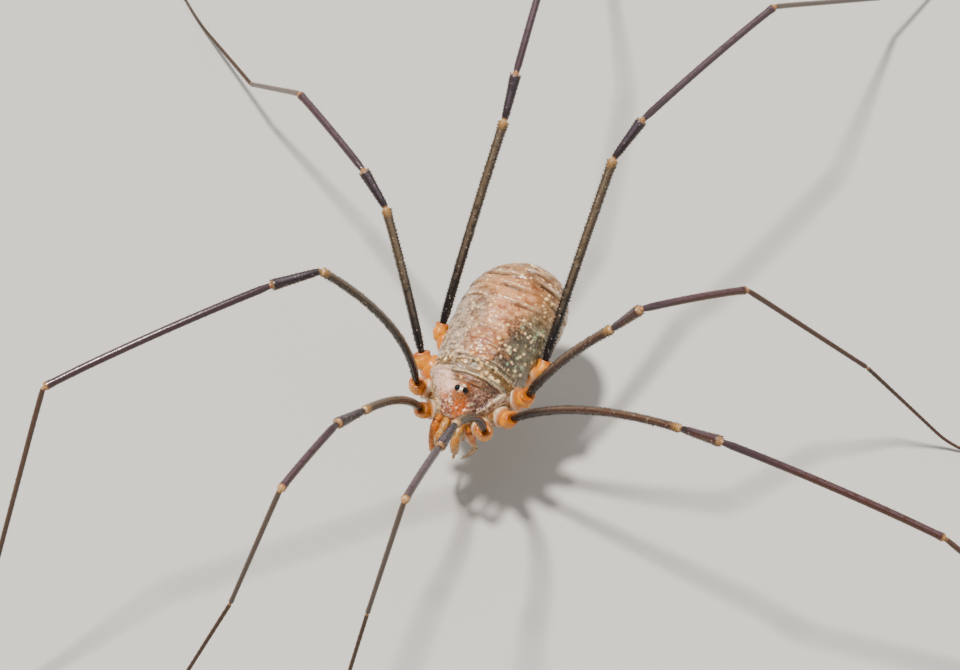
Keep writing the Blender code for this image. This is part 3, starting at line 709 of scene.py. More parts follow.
def makeEyes():
    made, sheet, shader = newMaterial("eyeLens", rough=0.07, specular=0.30, coat=(0.15, 0.04))
    dark, glow = (tone(code) for code in eyeLook["tones"])
    wire(sheet, shader, sheet.place().noise(eyeLook["grain"]).mix(dark, glow))
    polar = np.linspace(0.0, np.pi, 26)[1:-1, None]
    turn = np.linspace(0.0, 2.0 * np.pi, 40, endpoint=False)[None]
    tall = np.cos(polar) * eyeLook["tall"] + 0.0 * turn
    ball = np.stack([np.sin(polar) * np.cos(turn), np.sin(polar) * np.sin(turn), tall], axis=-1)
    for word, side in bodySides.items():
        shape = closedRings(eyeMiddle(side) + eyeLook["radius"] * ball)
        makePiece("eyeBall" + word.title(), [shape], [made], ["eye_" + word])


# Limbs: a path, its frame and a tube with marks
def evenPath(corners, step):
    corners = np.array(corners, dtype=float)
    first, last = 2.0 * corners[0] - corners[1], 2.0 * corners[-1] - corners[-2]
    padded = np.vstack([first, corners, last])
    t = np.linspace(0.0, 1.0, 14, endpoint=False)[:, None]
    runs = []
    for a, b, c, d in zip(padded, padded[1:], padded[2:], padded[3:]):
        turn = (2.0 * a - 5.0 * b + 4.0 * c - d) * t**2 + (3.0 * b - a - 3.0 * c + d) * t**3
        runs.append(0.5 * (2.0 * b + (c - a) * t + turn))
    fine = np.vstack(runs + [corners[-1:]])
    run = np.concatenate([[0.0], np.cumsum(np.linalg.norm(np.diff(fine, axis=0), axis=1))])
    at = np.linspace(0.0, run[-1], max(int(run[-1] / step), 5) + 1)
    return np.stack([np.interp(at, run, fine[:, k]) for k in range(3)], axis=1), at


def limbFrame(path):
    # Direction, sideways and upward unit vectors at each point.
    way = unit(np.gradient(path, axis=0))
    level = np.cross(way[0], (0.0, 0.0, 1.0))
    if np.linalg.norm(level) < 0.05:
        level = np.array([1.0, 0.0, 0.0])
    levels = []
    for step in way:
        level = unit(level - step * (level @ step))
        levels.append(level)
    levels = np.array(levels)
    over = np.cross(levels, way)
    if over[0, 2] < 0.0:
        levels, over = -levels, -over
    return way, levels, over


def endProfile(at, root, tip):
    places = [p for p, r in root] + [at[-1] - p for p, r in tip]
    values = [r for p, r in root] + [r for p, r in tip]
    return np.interp(at, places, values)


def tube(path, at, radius, sides, kind=0, wide=1.0, tall=1.0, **marks):
    _, level, over = limbFrame(path)
    turn = circle(sides)
    ring = level[:, None] * (np.cos(turn) * wide)[:, None]
    ring = ring + over[:, None] * (np.sin(turn) * tall)[:, None]
    rings = path[:, None] + ring * radius[:, None, None]
    marks.update(fromRoot=at, toTip=at[-1] - at, share=at / at[-1])
    marks = {name: values[:, None] for name, values in marks.items()}
    return closedRings(rings, kind, above=np.sin(turn)[None], **marks)


# Teeth, spines or hairs in rows along a limb, each a little unlike the next
armLook = {"root": 0.94, "length": (0.75, 1.2), "radius": (0.85, 1.15), "pitch": (0.8, 1.2)}


def armed(path, at, radius, look, kind):
    way, level, over = limbFrame(path)
    roots, tips, thick = [], [], []
    for row in look["rows"]:
        place = look["from"] + rng.uniform(0.0, look["pitch"])
        while place < at[-1] - look["to"]:
            turn = math.radians(90.0 + row + rng.normal(0.0, look["stray"]))
            spot = int(np.searchsorted(at, place).clip(0, len(at) - 1))
            out = level[spot] * math.cos(turn) + over[spot] * math.sin(turn)
            size = look["length"] * rng.uniform(*armLook["length"])
            root = path[spot] + out * (radius[spot] * armLook["root"])
            roots.append(root)
            tips.append(root + unit(out + way[spot] * look["lean"]) * size)
            thick.append(look["radius"] * rng.uniform(*armLook["radius"]))
            place += look["pitch"] * rng.uniform(*armLook["pitch"])
    return cones(np.array(roots), np.array(tips), thick, look["sides"], kind)


# Leg materials
legTones = {"warm": "563122", "dark": "1c1210", "glintSpecks": "cbb9a6"}
cuticleLook = {"grain": 5.0, "bump": 0.012}


def legMaterial(name, look):
    made, sheet, shader = newMaterial(name, inner=0.05)
    codes = {key: look[key] for key in ("base", "far", "under", "end", "crest", "tipHighlight")}
    tones = {key: tone(code) for key, code in {**codes, **legTones}.items()}
    place = sheet.place()
    fromRoot, toTip, share, above, warmth = sheet.marks(
        "fromRoot", "toTip", "share", "above", "warmth"
    )
    middle, fine = place.noise(4.0, 4.0), place.noise(16.0, 3.0)
    colour = (share + (middle - 0.5) * 0.5).ease(*look["turnAt"]).mix(tones["base"], tones["far"])
    colour = (warmth * share.ease(0.10, 0.42)).mix(colour, tones["warm"])
    # painted highlight: a paler stripe along the top of each segment
    crest = above.ease(*look["crestAt"]) * middle.ease(0.30, 0.50)
    colour = (crest * look["crestBy"] * share.ease(0.10, 0.35)).mix(colour, tones["crest"])
    lower = (above + (middle - 0.5) * 0.4).ease(*look["underAt"])
    colour = (lower * look["underBy"]).mix(colour, tones["under"])
    colour = (fine.ease(0.42, 0.60) * look["speckle"]).mix(colour, tones["dark"])
    # painted glints: small pale specks scattered over the femur and patella
    near, kinds = place.cells(6.5)
    glintSpecks = near.ease(0.24, 0.11) * kinds.ease(0.38, 0.45) * look.get("glintSpecks", 0.0)
    colour = glintSpecks.mix(colour, tones["glintSpecks"])
    ends = toTip.ease(*look["endAt"]).larger(fromRoot.ease(*look["rootAt"]))
    colour = ends.mix(colour, tones["end"])
    # painted highlight: the top of each segment's tip made pale
    tipHighlight = toTip.ease(0.10, 0.04) * above.ease(-0.4, 0.5)
    colour = (tipHighlight * 0.85).mix(colour, tones["tipHighlight"])
    rough = look["rough"] + (fine - 0.5) * 0.25
    wire(sheet, shader, colour, rough, middle * 0.4 + fine * 0.6, look["bump"])
    return made


def plainCuticle(name, first, second, rough, inner):
    made, sheet, shader = newMaterial(name, inner=inner)
    place, grain = sheet.place(), cuticleLook["grain"]
    broad, fine = place.noise(grain, 4.0), place.noise(grain * 4.0)
    colour = broad.ease(0.35, 0.65).mix(tone(first), tone(second))
    height = broad * 0.5 + fine * 0.5
    wire(sheet, shader, colour, rough + (fine - 0.5) * 0.2, height, cuticleLook["bump"])
    return made


# What the legs share; cadSides and cadFoot repeat the solids' own sides and foot height
legLook = {
    "cadSides": 8,
    "cadFoot": 0.13,
    "collar": 0.49,
    "ankle": 0.05,
    "tarsusLength": {1: 12.0, 2: 16.0, 3: 9.5, 4: 12.0},
    "footFlat": 1.8,
    "footBend": 0.26,
    "footStep": 0.2,
    "warmth": {("left", 2): 0.80, ("left", 3): 0.75, ("right", 1): 0.20},
    "sunk": 0.11,
    "slim": {1: 0.92, 2: 0.84, 3: 0.96, 4: 1.0},
    "fineTeeth": {1: 0.62},
    # the joint's ball: size over the limb's radius, reach to both sides, step and sides
    "ball": (0.60, 0.16, 0.03, 12),
}
# Each segment: its radius close to both ends, its teeth or hairs and its tones; two tones are
# painted highlights, along its top and on the top of its tip, and pale specks on femur and patella
# are painted glints
femurLook = {
    "sides": 18, "step": 0.07,
    "root": ((0.0, 0.11), (0.08, 0.145), (0.35, 0.170), (0.9, 0.195)),
    "tip": ((0.60, 0.200), (0.20, 0.228), (0.05, 0.215), (0.0, 0.13)),
    "arms": {
        "rows": (-155, -118, -82, -48, 48, 82, 118, 155), "from": 0.20, "to": 0.16,
        "pitch": 0.155, "length": 0.095, "radius": 0.033, "lean": 0.75, "stray": 3.5, "sides": 5,
    },
    "base": "170f10", "far": "574632", "under": "664b30", "end": "a97c42", "tipHighlight": "cfa478",
    "crest": "84705a", "crestAt": (0.84, 0.98), "crestBy": 0.45,
    "turnAt": (0.16, 0.70), "underAt": (-0.5, -0.95), "underBy": 0.3,
    "glintSpecks": 0.6, "speckle": 0.35, "endAt": (0.55, 0.10), "rootAt": (-0.02, -0.04),
    "rough": 0.22, "bump": 0.02,
}
patellaLook = {
    "sides": 18, "step": 0.07,
    "root": ((0.0, 0.10), (0.06, 0.15), (0.45, 0.175)),
    "tip": ((0.55, 0.225), (0.16, 0.255), (0.03, 0.225), (0.0, 0.12)),
    "arms": {
        "rows": (-150, -108, -70, -34, 34, 70, 108, 150), "from": 0.15, "to": 0.12,
        "pitch": 0.17, "length": 0.085, "radius": 0.025, "lean": 1.0, "stray": 4.0, "sides": 5,
    },
    "base": "32252a", "far": "3b2e34", "under": "8a6238", "end": "ab7c4a", "tipHighlight": "c09468",
    "crest": "5a4d58", "crestAt": (0.86, 0.98), "crestBy": 0.7,
    "turnAt": (0.2, 0.9), "underAt": (0.25, -0.15), "underBy": 0.8,
    "glintSpecks": 0.4, "speckle": 0.25, "endAt": (0.14, 0.05), "rootAt": (0.12, 0.05),
    "rough": 0.24, "bump": 0.012,
}
tibiaLook = {
    "sides": 18, "step": 0.07,
    "root": ((0.0, 0.09), (0.05, 0.13), (0.5, 0.170)),
    "tip": ((0.50, 0.172), (0.14, 0.195), (0.03, 0.17), (0.0, 0.09)),
    "arms": {
        "rows": (-120, -60, -15, 30, 75, 130), "from": 0.3, "to": 0.1,
        "pitch": 0.42, "length": 0.12, "radius": 0.009, "lean": 1.3, "stray": 9.0, "sides": 4,
    },
    "base": "47343a", "far": "4b3538", "under": "a97f46", "end": "bf8a50", "tipHighlight": "d9ac7c",
    "crest": "6d5862", "crestAt": (0.80, 0.97), "crestBy": 0.5,
    "turnAt": (0.1, 0.9), "underAt": (0.12, -0.30), "underBy": 0.75,
    "speckle": 0.15, "endAt": (0.26, 0.08), "rootAt": (0.10, 0.02), "rough": 0.20, "bump": 0.008,
}
metatarsusLook = {
    "sides": 12, "step": 0.07,
    "root": ((0.0, 0.07), (0.05, 0.11), (0.4, 0.125)),
    "tip": ((0.60, 0.105), (0.12, 0.115), (0.02, 0.10), (0.0, 0.06)),
    "arms": {
        "rows": (-130, -70, -20, 40, 90, 150), "from": 0.2, "to": 0.05,
        "pitch": 0.36, "length": 0.13, "radius": 0.007, "lean": 1.4, "stray": 10.0, "sides": 4,
    },
    "base": "5a4030", "far": "4b3628", "under": "7d5e38", "end": "a87c46", "tipHighlight": "b98c58",
    "crest": "6e5440", "crestAt": (0.6, 0.95), "crestBy": 0.3,
    "turnAt": (0.1, 0.9), "underAt": (-0.2, -0.8), "underBy": 0.5,
    "speckle": 0.2, "endAt": (0.10, 0.03), "rootAt": (0.10, 0.02), "rough": 0.32, "bump": 0.008,
}
tarsusLook = {
    "sides": 12, "step": 0.045,
    "root": ((0.0, 0.06), (0.05, 0.095), (0.6, 0.095)),
    "tip": ((4.0, 0.078), (0.6, 0.060), (0.04, 0.045), (0.0, 0.03)),
    # the articles' length at the root and at the tip, the width and depth of their joints
    "articles": (0.36, 0.16), "articleJoint": (0.035, 0.14),
    "arms": {
        "rows": (-150, -95, -40, 20, 80, 135), "from": 0.1, "to": 0.05,
        "pitch": 0.22, "length": 0.11, "radius": 0.006, "lean": 1.5, "stray": 12.0, "sides": 3,
    },
    "claw": {"length": 0.22, "radius": 0.03, "sunk": 0.03, "sides": 6},
    "base": "4b3424", "far": "3a281c", "under": "6b4c30", "end": "8a6338", "tipHighlight": "7a5632",
    "crest": "5a4230", "crestAt": (0.6, 0.95), "crestBy": 0.2,
    "turnAt": (0.1, 0.9), "underAt": (-0.2, -0.8), "underBy": 0.4,
    "speckle": 0.15, "endAt": (-0.02, -0.04), "rootAt": (0.08, 0.02), "rough": 0.45, "bump": 0.006,
}
segments = {
    "femur": femurLook, "patella": patellaLook, "tibia": tibiaLook,
    "metatarsus": metatarsusLook, "tarsus": tarsusLook,
}
# Crown of teeth round the end of the patella
crownLook = {
    "count": 9, "spread": 105.0, "back": 0.05, "length": 0.11, "radius": 0.022, "lean": 0.45,
    "root": 0.92, "sides": 5,
}


def nodePoints(node):
    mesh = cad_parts[node].data
    points = np.array([vertex.co[:] for vertex in mesh.vertices]) * perMetre
    return np.unique(np.round(points, 4), axis=0) - waist


def nodePath(node, start):
    # Middle of each ring of points of a leg solid, from the end that is nearer to start.
    points = nodePoints(node)
    way = np.linalg.svd(points - points.mean(0))[2][0]
    order = np.argsort(points @ way)
    path = points[order].reshape(-1, legLook["cadSides"], 3).mean(1)
    if np.linalg.norm(path[0] - start) > np.linalg.norm(path[-1] - start):
        path = path[::-1]
    return path


def tarsusPath(root, tip, length):
    # Straight slope, even bend and level foot, as steep as the drop to the floor asks.
    bend = legLook["footBend"] * length
    straight = length - bend - legLook["footFlat"]
    ahead = unit((tip - root) * (1.0, 1.0, 0.0))
    low, high = 0.01, 0.5 * math.pi
    for _ in range(50):
        pitch = 0.5 * (low + high)
        drop = straight * math.sin(pitch) + bend * (1.0 - math.cos(pitch)) / pitch
        low, high = (pitch, high) if drop < root[2] - tip[2] else (low, pitch)
    at = np.linspace(0.0, length, int(length / legLook["footStep"]))
    slope = np.minimum(at, straight)
    turned = np.clip(at - straight, 0.0, bend)
    left = pitch * (1.0 - turned / bend)
    forward = slope * math.cos(pitch) + bend / pitch * (math.sin(pitch) - np.sin(left))
    forward += np.maximum(at - straight - bend, 0.0)
    down = slope * math.sin(pitch) + bend / pitch * (np.cos(left) - math.cos(pitch))
    return root + ahead * forward[:, None] - np.array([0.0, 0.0, 1.0]) * down[:, None]


def crown(path, at, radius, kind):
    way, level, over = limbFrame(path)
    look = crownLook
    spot = int(np.searchsorted(at, at[-1] - look["back"])) - 1
    roots, tips = [], []
    for k in range(look["count"]):
        share = 2.0 * k / (look["count"] - 1) - 1.0
        turn = math.radians(90.0 + look["spread"] * share)
        out = level[spot] * math.cos(turn) + over[spot] * math.sin(turn)
        root = path[spot] + out * radius[spot] * look["root"]
        roots.append(root)
        tips.append(root + unit(way[spot] + out * look["lean"]) * look["length"])
    thick = np.full(len(roots), look["radius"])
    return cones(np.array(roots), np.array(tips), thick, look["sides"], kind)


def articleSteps(at, look):
    # Ring-like articles that get shorter towards the tip.
    first, last = look["articles"]
    edges = [0.0]
    while edges[-1] < at[-1]:
        share = edges[-1] / at[-1]
        edges.append(edges[-1] + first + (last - first) * min(share * 1.6, 1.0))
    edges = np.array(edges)
    near = np.abs(at[:, None] - edges[None]).min(1)
    width, depth = look["articleJoint"]
    return 1.0 - depth * bell(near, width)


def legPaths(prefix, number):
    # Corners of the five segments; patella and tarsus are worked out from the solids' ends.
    hip = boxMiddle(prefix + "coxa") - waist
    femur = nodePath(prefix + "femur", hip)
    tibia = nodePath(prefix + "tibia", femur[-1])
    metatarsus = nodePath(prefix + "metatarsus", tibia[-1])
    sole = nodePoints(prefix + "tarsus")
    order = np.argsort(np.linalg.norm(sole - metatarsus[-1], axis=1))
    foot = sole[order[-legLook["cadSides"] :]].mean(0)
    foot[2] = stance["floor"] + legLook["cadFoot"]
    ankle = metatarsus[-1] + unit(metatarsus[-1] - metatarsus[-2]) * legLook["ankle"]
    knee = 0.5 * (metatarsus[0] + tibia[-1])
    tibia[-1] = knee
    metatarsus[0] = knee
    tarsus = tarsusPath(ankle, foot, legLook["tarsusLength"][number])
    patella = np.array([femur[-1], 0.5 * (femur[-1] + tibia[0]), tibia[0]])
    return femur, patella, tibia, metatarsus, tarsus


def clawShape(path, radius, look, kind):
    way = unit(path[-1] - path[-4])
    curl = np.array([0.0, 0.0, -0.5 * radius[-1] / look["length"]])
    tip = path[-1] + unit(way + curl) * look["length"]
    root = path[-1] - way * look["sunk"]
    return cones(root[None], tip[None], [look["radius"]], look["sides"], kind)


def ballShape(path, radius, onward, kind):
    size, reach, step, sides = legLook["ball"]
    behind = path[-1] - unit(path[-1] - path[-3]) * reach
    ball, run = evenPath([behind, path[-1] + unit(onward - path[-1]) * reach], step)
    swell = np.sqrt(np.clip(1.0 - (2.0 * run / run[-1] - 1.0) ** 2, 0.02, 1.0))
    return tube(ball, run, radius[-6] * size * swell, sides, kind)


# The materials' numbers: a segment has its own, then come joint skin and horn
def makeLeg(word, number, materials):
    prefix = "leg%d_%s_" % (number, word)
    paths = legPaths(prefix, number)
    warm = legLook["warmth"].get((word, number), 0.0)
    skin, horn = len(segments), len(segments) + 1
    shapes = []
    for kind, (part, look) in enumerate(segments.items()):
        corners, arms = paths[kind], dict(look["arms"])
        if part == "femur":
            sunk = corners[0] - unit(corners[1] - corners[0]) * legLook["sunk"]
            corners = np.vstack([sunk, corners])
        path, at = evenPath(corners, look["step"])
        radius = endProfile(at, look["root"], look["tip"])
        if part == "femur":
            radius = radius * legLook["slim"][number]
            for measure in ("length", "radius"):
                arms[measure] *= legLook["fineTeeth"].get(number, 1.0)
        if part == "tarsus":
            radius = radius * articleSteps(at, look)
            path[:, 2] -= (legLook["cadFoot"] - radius) * easeStep(at, 0.5, at[-1] * 0.7)
            path[:, 2] = np.maximum(path[:, 2], stance["floor"] + radius)
        warmth = np.full(len(at), warm)
        shapes.append(tube(path, at, radius, look["sides"], kind, warmth=warmth))
        shapes.append(armed(path, at, radius, arms, horn))
        if part == "patella":
            shapes.append(crown(path, at, radius, horn))
        if part == "tarsus":
            shapes.append(clawShape(path, radius, look["claw"], horn))
        else:
            shapes.append(ballShape(path, radius, paths[kind + 1][1], skin))
    nodes = [prefix + part for part in segments]
    makePiece("leg%d%s" % (number, word.title()), shapes, materials, nodes)
    return paths[0]


# Coxae and ring joints
coxaLook = {
    1: {"start": (0.45, -1.05, -0.45), "half": 0.41, "ring": 1.04},
    2: {"start": (0.85, -0.60, -0.50), "half": 0.42, "ring": 1.08},
    3: {"start": (1.05, 0.10, -0.55), "half": 0.53, "ring": 1.16},
    4: {"start": (1.15, 1.05, -0.60), "half": 0.38, "ring": 0.94},
    "tall": 1.12,
    # share of the way out and radius over the half width, from the body to the cup's edge
    "outline": (
        (0.0, 1.60), (0.30, 1.58), (0.50, 1.42), (0.64, 1.12), (0.72, 1.02), (0.76, 1.03),
        (0.80, 1.10), (0.84, 1.06), (0.88, 0.88), (0.92, 0.60), (1.0, 0.20),
    ),
    # legs whose coxa is amber like its ring joint and runs into it without a cup
    "amber": {("right", 3): 1.0, ("right", 4): 1.0, ("left", 4): 0.6},
    "run": (
        (0.0, 1.2), (0.35, 1.3), (0.60, 1.28), (0.75, 1.15), (0.86, 1.04), (0.95, 0.9),
        (1.0, 0.5),
    ),
    "reach": 0.93,
    "step": 0.022,
    # share of the way out and width of the cup's rim, and of the crease behind it, with its depth
    "cup": (0.80, 0.045),
    "crease": (0.67, 0.018, 0.035),
    "warmOver": (0.42, 0.62),
    # length and number of the waves that make the surface uneven, and their heights
    "waves": (0.5, 8),
    "ringWaves": (0.42, 8),
    "lumps": 0.045,
    "softness": 0.35,
    "sides": 48,
    "ringRows": 74,
    # ring joint: distance along its axis from its middle, and radius
    "ring": (
        (-0.42, 0.05), (-0.38, 0.18), (-0.28, 0.275), (-0.14, 0.330), (0.02, 0.350),
        (0.14, 0.335), (0.24, 0.300), (0.31, 0.305), (0.38, 0.305), (0.43, 0.275),
        (0.44, 0.225), (0.40, 0.17),
    ),
    "ridgePitch": 0.085,
    "ridge": 0.0045,
    "flare": 0.11,
    "flareOver": (0.2, 0.38),
}


def coxaShape(word, number, centre):
    side, look = bodySides[word], coxaLook[number]
    start = np.array(look["start"]) * (side, 1.0, 1.0)
    start[0] += stance["swing"] * max(start[1], 0.0)
    end = start + (centre - start) * coxaLook["reach"]
    path, at = evenPath([start, 0.5 * (start + end), end], coxaLook["step"])
    share = at / at[-1]
    amber = coxaLook["amber"].get((word, number), 0.0)
    cupped, even = (np.interp(share, *np.array(coxaLook[key]).T) for key in ("outline", "run"))
    radius = look["half"] * (cupped + (even - cupped) * amber)
    radius[1:-1] = (radius[:-2] + 2.0 * radius[1:-1] + radius[2:]) / 4.0
    cup, width = coxaLook["cup"]
    rim = bell(share - cup, width) * (1.0 - amber)
    warm = amber * easeStep(share, *coxaLook["warmOver"])
    crease, width, depth = coxaLook["crease"]
    radius = radius - depth * look["half"] * bell(share - crease, width)
    fold = bell(share - crease, 2.0 * width) * (1.0 - amber)
    sides, tall = coxaLook["sides"], coxaLook["tall"]
    shape = tube(path, at, radius, sides, 0, 1.0, tall, rim=rim, warm=warm, fold=fold)
    points = shape["points"]
    waves = softWaves(points, *coxaLook["waves"], 20 * number)[:, None]
    swell = 1.0 + coxaLook["softness"] * coxaLook["lumps"] * waves
    shape["points"] = points.mean(0) + (points - points.mean(0)) * swell
    return shape


def ringShape(word, number, centre, way):
    # Ring joint: its outline turned about its axis, smoothed, finely ridged, with a lobed lip.
    table = np.array(coxaLook["ring"])
    steps = np.concatenate([[0.0], np.cumsum(np.hypot(*np.diff(table, axis=0).T))])
    fine = np.linspace(0.0, steps[-1], coxaLook["ringRows"])
    along = np.interp(fine, steps, table[:, 0])
    radius = np.interp(fine, steps, table[:, 1]) * coxaLook[number]["ring"]
    kernel = np.array([1.0, 2.0, 3.0, 2.0, 1.0]) / 9.0
    along[2:-2] = np.convolve(along, kernel, "valid")
    radius[2:-2] = np.convolve(radius, kernel, "valid")
    ripple = np.sin(2.0 * np.pi * along / coxaLook["ridgePitch"])
    radius = radius + coxaLook["ridge"] * ripple * easeStep(radius, 0.2, 0.3)
    level = unit(np.cross(way, (0.0, 0.2, 1.0)))
    over = np.cross(level, way)
    turn = circle(coxaLook["sides"])
    ring = level * np.cos(turn)[:, None] + over * np.sin(turn)[:, None]
    rings = centre + way * along[:, None, None] + ring[None] * radius[:, None, None]
    waves = softWaves(rings, *coxaLook["ringWaves"], 10 * number + int(bodySides[word]))
    lip = easeStep(along, *coxaLook["flareOver"])[:, None]
    swell = coxaLook["flare"] * np.cos(2.0 * turn)[None] * lip + waves * coxaLook["lumps"]
    rings = rings + (rings - rings.mean(1, keepdims=True)) * swell[..., None]
    return closedRings(rings, 1, lip=lip)


def makeCoxa(word, number, femur, materials):
    way = unit(-3.0 * femur[0] + 4.0 * femur[1] - femur[2])
    centre = femur[0] - way * legLook["collar"]
    shapes = [coxaShape(word, number, centre), ringShape(word, number, centre, way)]
    name, node = "coxa%d%s" % (number, word.title()), "leg%d_%s_coxa" % (number, word)
    makePiece(name, shapes, materials, [node])


coxaTones = {
    "pale": "e6c294", "deep": "b67a3c", "rim": "fbf0dc", "fold": "7c4c26",
    "ring": "ee8a0a", "lip": "fcae30", "burnt": "b85c12",
}


def coxaMaterials():
    tones = {name: tone(code) for name, code in coxaTones.items()}
    pale, sheet, shader = newMaterial("coxaCuticle", inner=0.35, innerScale=0.35)
    place = sheet.place()
    middle, fine = place.noise(4.5, 4.0), place.noise(14.0)
    rim, share, fold, warm = sheet.marks("rim", "share", "fold", "warm")
    colour = middle.ease(0.35, 0.65).mix(tones["pale"], tones["deep"])
    colour = (share.ease(0.74, 0.93) * 0.8).mix(colour, tones["ring"])
    colour = (fold * middle.ease(0.36, 0.54) * 0.8).mix(colour, tones["fold"])
    colour = (warm * (0.5 + middle)).ease(0.1, 0.9).mix(colour, tones["ring"])
    # the cup's rim painted near white: partly its own pale rim, partly a painted highlight
    colour = (rim * middle.ease(0.34, 0.50) * 0.9).mix(colour, tones["rim"])
    wire(sheet, shader, colour, 0.28 + (fine - 0.5) * 0.3, middle * 0.4 + fine * 0.6, 0.02)

    amber, sheet, shader = newMaterial("ringCuticle", inner=0.45, innerScale=0.30)
    place = sheet.place()
    middle, fine = place.noise(5.0, 4.0), place.noise(20.0)
    colour = middle.ease(0.35, 0.65).mix(tones["ring"], tones["lip"])
    burnt = (middle.ease(0.54, 0.68) * 0.5).larger(sheet.mark("lip").ease(0.75, 1.0) * 0.8)
    colour = burnt.mix(colour, tones["burnt"])
    wire(sheet, shader, colour, 0.22 + (fine - 0.5) * 0.3, middle * 0.4 + fine * 0.6, 0.02)
    return [pale, amber]


# Mouth parts
mouthLook = {
    "x": 0.35,
    "shift": 0.05,
    "step": 0.03,
    # base and hand of a chelicera: corners, radii spread over them, width and height
    "trunks": (
        (
            ((-0.04, -1.66, -0.05), (-0.02, -2.30, 0.06), (0.0, -2.75, -0.02)),
            (0.17, 0.20, 0.215, 0.18, 0.10), 0.95, 1.1,
        ),
        (
            ((0.0, -2.50, 0.13), (0.02, -2.82, -0.18), (0.03, -2.90, -0.62), (0.02, -2.86, -1.05)),
            (0.11, 0.19, 0.215, 0.20, 0.165, 0.10), 1.0, 1.0,
        ),
    ),
    "trunkSides": 28,
    "finger": ((0.02, -2.86, -0.92), (0.01, -2.87, -1.20), (-0.02, -2.87, -1.42)),
    "fingerLean": (0.054, 0.135, 0.081),
    "fingerRadii": (0.085, 0.07, 0.02),
    "fingerStep": 0.02,
    "fingerSides": 14,
    "hairs": {
        "rows": (-70, -30, 10, 50, 90), "from": 0.3, "to": 0.1, "pitch": 0.20,
        "length": 0.12, "radius": 0.008, "lean": 1.0, "stray": 12.0, "sides": 4,
    },
}
palpLook = {
    "root": (0.50, -1.62, 0.05),
    "shoulder": (0.72, -1.98, -0.38),
    # heading outward from straight ahead, pitch and length: femur, patella, tibia, tarsus
    "right": ((-8, -56, 1.45), (157, -62, 0.60), (165, -55, 0.75), (-170, -35, 0.85)),
    "left": ((172, -80, 1.30), (117, -73, 0.60), (-69, -64, 0.70), (-102, -63, 0.80)),
    # trochanter, femur, patella, tibia and tarsus: radii spread over each, skin, flatness
    "parts": (
        ((0.16, 0.20, 0.20), "palp", 1.0),
        ((0.16, 0.245, 0.245, 0.21, 0.12), "palp", 1.08),
        ((0.10, 0.135, 0.12), "tip", 1.0),
        ((0.09, 0.105, 0.105, 0.08), "tip", 1.0),
        ((0.065, 0.07, 0.06, 0.03), "tip", 1.0),
    ),
    "overlap": 0.05,
    "roundOff": 0.09,
    "step": 0.022,
    "sides": 24,
    # how far the longer segments stand off to the side, ahead and up from the solids
    "lift": {"right": (0.05, -0.05, 0.10), "left": (0.0, 0.0, 0.0)},
    "hairs": {
        "rows": (-150, -110, -70, -30, 10, 50, 90, 130), "from": 0.1, "to": 0.05, "pitch": 0.17,
        "length": 0.14, "radius": 0.008, "lean": 0.8, "stray": 14.0, "sides": 4,
    },
    "claw": {"length": 0.10, "radius": 0.02, "sides": 6},
    # pale lobe that hangs beside the mouth
    "lobe": ((0.40, -1.72, -0.45), (0.40, -1.90, -1.00), (0.37, -1.98, -1.50)),
    "lobeRadii": (0.14, 0.13, 0.11, 0.05),
    "lobeStep": 0.03,
    "lobeSides": 20,
}
# numbers of the materials
mouthKinds = {"chelicera": 0, "palp": 1, "hair": 2, "tip": 3}


def spreadRadii(at, values):
    return np.interp(at / at[-1], np.linspace(0.0, 1.0, len(values)), values)


def rounded(at, values):
    edge = np.minimum(at, at[-1] - at) / palpLook["roundOff"]
    return spreadRadii(at, values) * np.sqrt(np.clip(edge, 0.03, 1.0))


def sided(points, side, x=0.0, shift=0.0, ahead=(0.0,) * 4):
    return [(side * (x + p[0]) + shift, p[1] + more, p[2]) for p, more in zip(points, ahead)]


def makeChelicera(word, materials):
    look, kinds = mouthLook, mouthKinds
    side, x, shift = bodySides[word], look["x"], look["shift"]
    shapes = []
    for corners, radii, wide, tall in look["trunks"]:
        path, at = evenPath(sided(corners, side, x, shift), look["step"])
        radius = spreadRadii(at, radii)
        trunk = tube(path, at, radius, look["trunkSides"], kinds["chelicera"], wide, tall)
        shapes += [trunk, armed(path, at, radius, look["hairs"], kinds["hair"])]
    for lean in (-1.0, 1.0):
        ahead = [lean * more for more in look["fingerLean"]]
        path, at = evenPath(sided(look["finger"], side, x, shift, ahead), look["fingerStep"])
        radius = spreadRadii(at, look["fingerRadii"])
        shapes.append(tube(path, at, radius, look["fingerSides"], kinds["tip"]))
    makePiece("chelicera" + word.title(), shapes, materials, ["chelicera_" + word])


def makePalp(word, materials):
    look, kinds, side = palpLook, mouthKinds, bodySides[word]
    corners = [np.array(p) for p in sided((look["root"], look["shoulder"]), side)]
    for heading, pitch, length in look[word]:
        turn, rise = math.radians(heading), math.radians(pitch)
        level = math.cos(rise)
        way = (side * math.sin(turn) * level, -math.cos(turn) * level, math.sin(rise))
        corners.append(corners[-1] + np.array(way) * length)
    lift = np.array(look["lift"][word]) * (side, 1.0, 1.0)
    corners[1:] = [corner + lift for corner in corners[1:]]
    shapes = []
    for begin, end, (radii, skin, flat) in zip(corners, corners[1:], look["parts"]):
        way = unit(end - begin) * look["overlap"]
        path, at = evenPath([begin - way, 0.5 * (begin + end), end + way], look["step"])
        radius = rounded(at, radii)
        shapes.append(tube(path, at, radius, look["sides"], kinds[skin], flat, 2.0 - flat))
        if skin == "tip":
            shapes.append(armed(path, at, radius, look["hairs"], kinds["hair"]))
    claw = look["claw"]
    root, tip = path[-2], path[-1] + unit(path[-1] - path[-3]) * claw["length"]
    shapes.append(cones(root[None], tip[None], [claw["radius"]], claw["sides"], kinds["hair"]))
    path, at = evenPath(sided(look["lobe"], side), look["lobeStep"])
    lobe = tube(path, at, rounded(at, look["lobeRadii"]), look["lobeSides"], kinds["tip"])
    makePiece("palp" + word.title(), shapes + [lobe], materials, ["pedipalp_" + word])


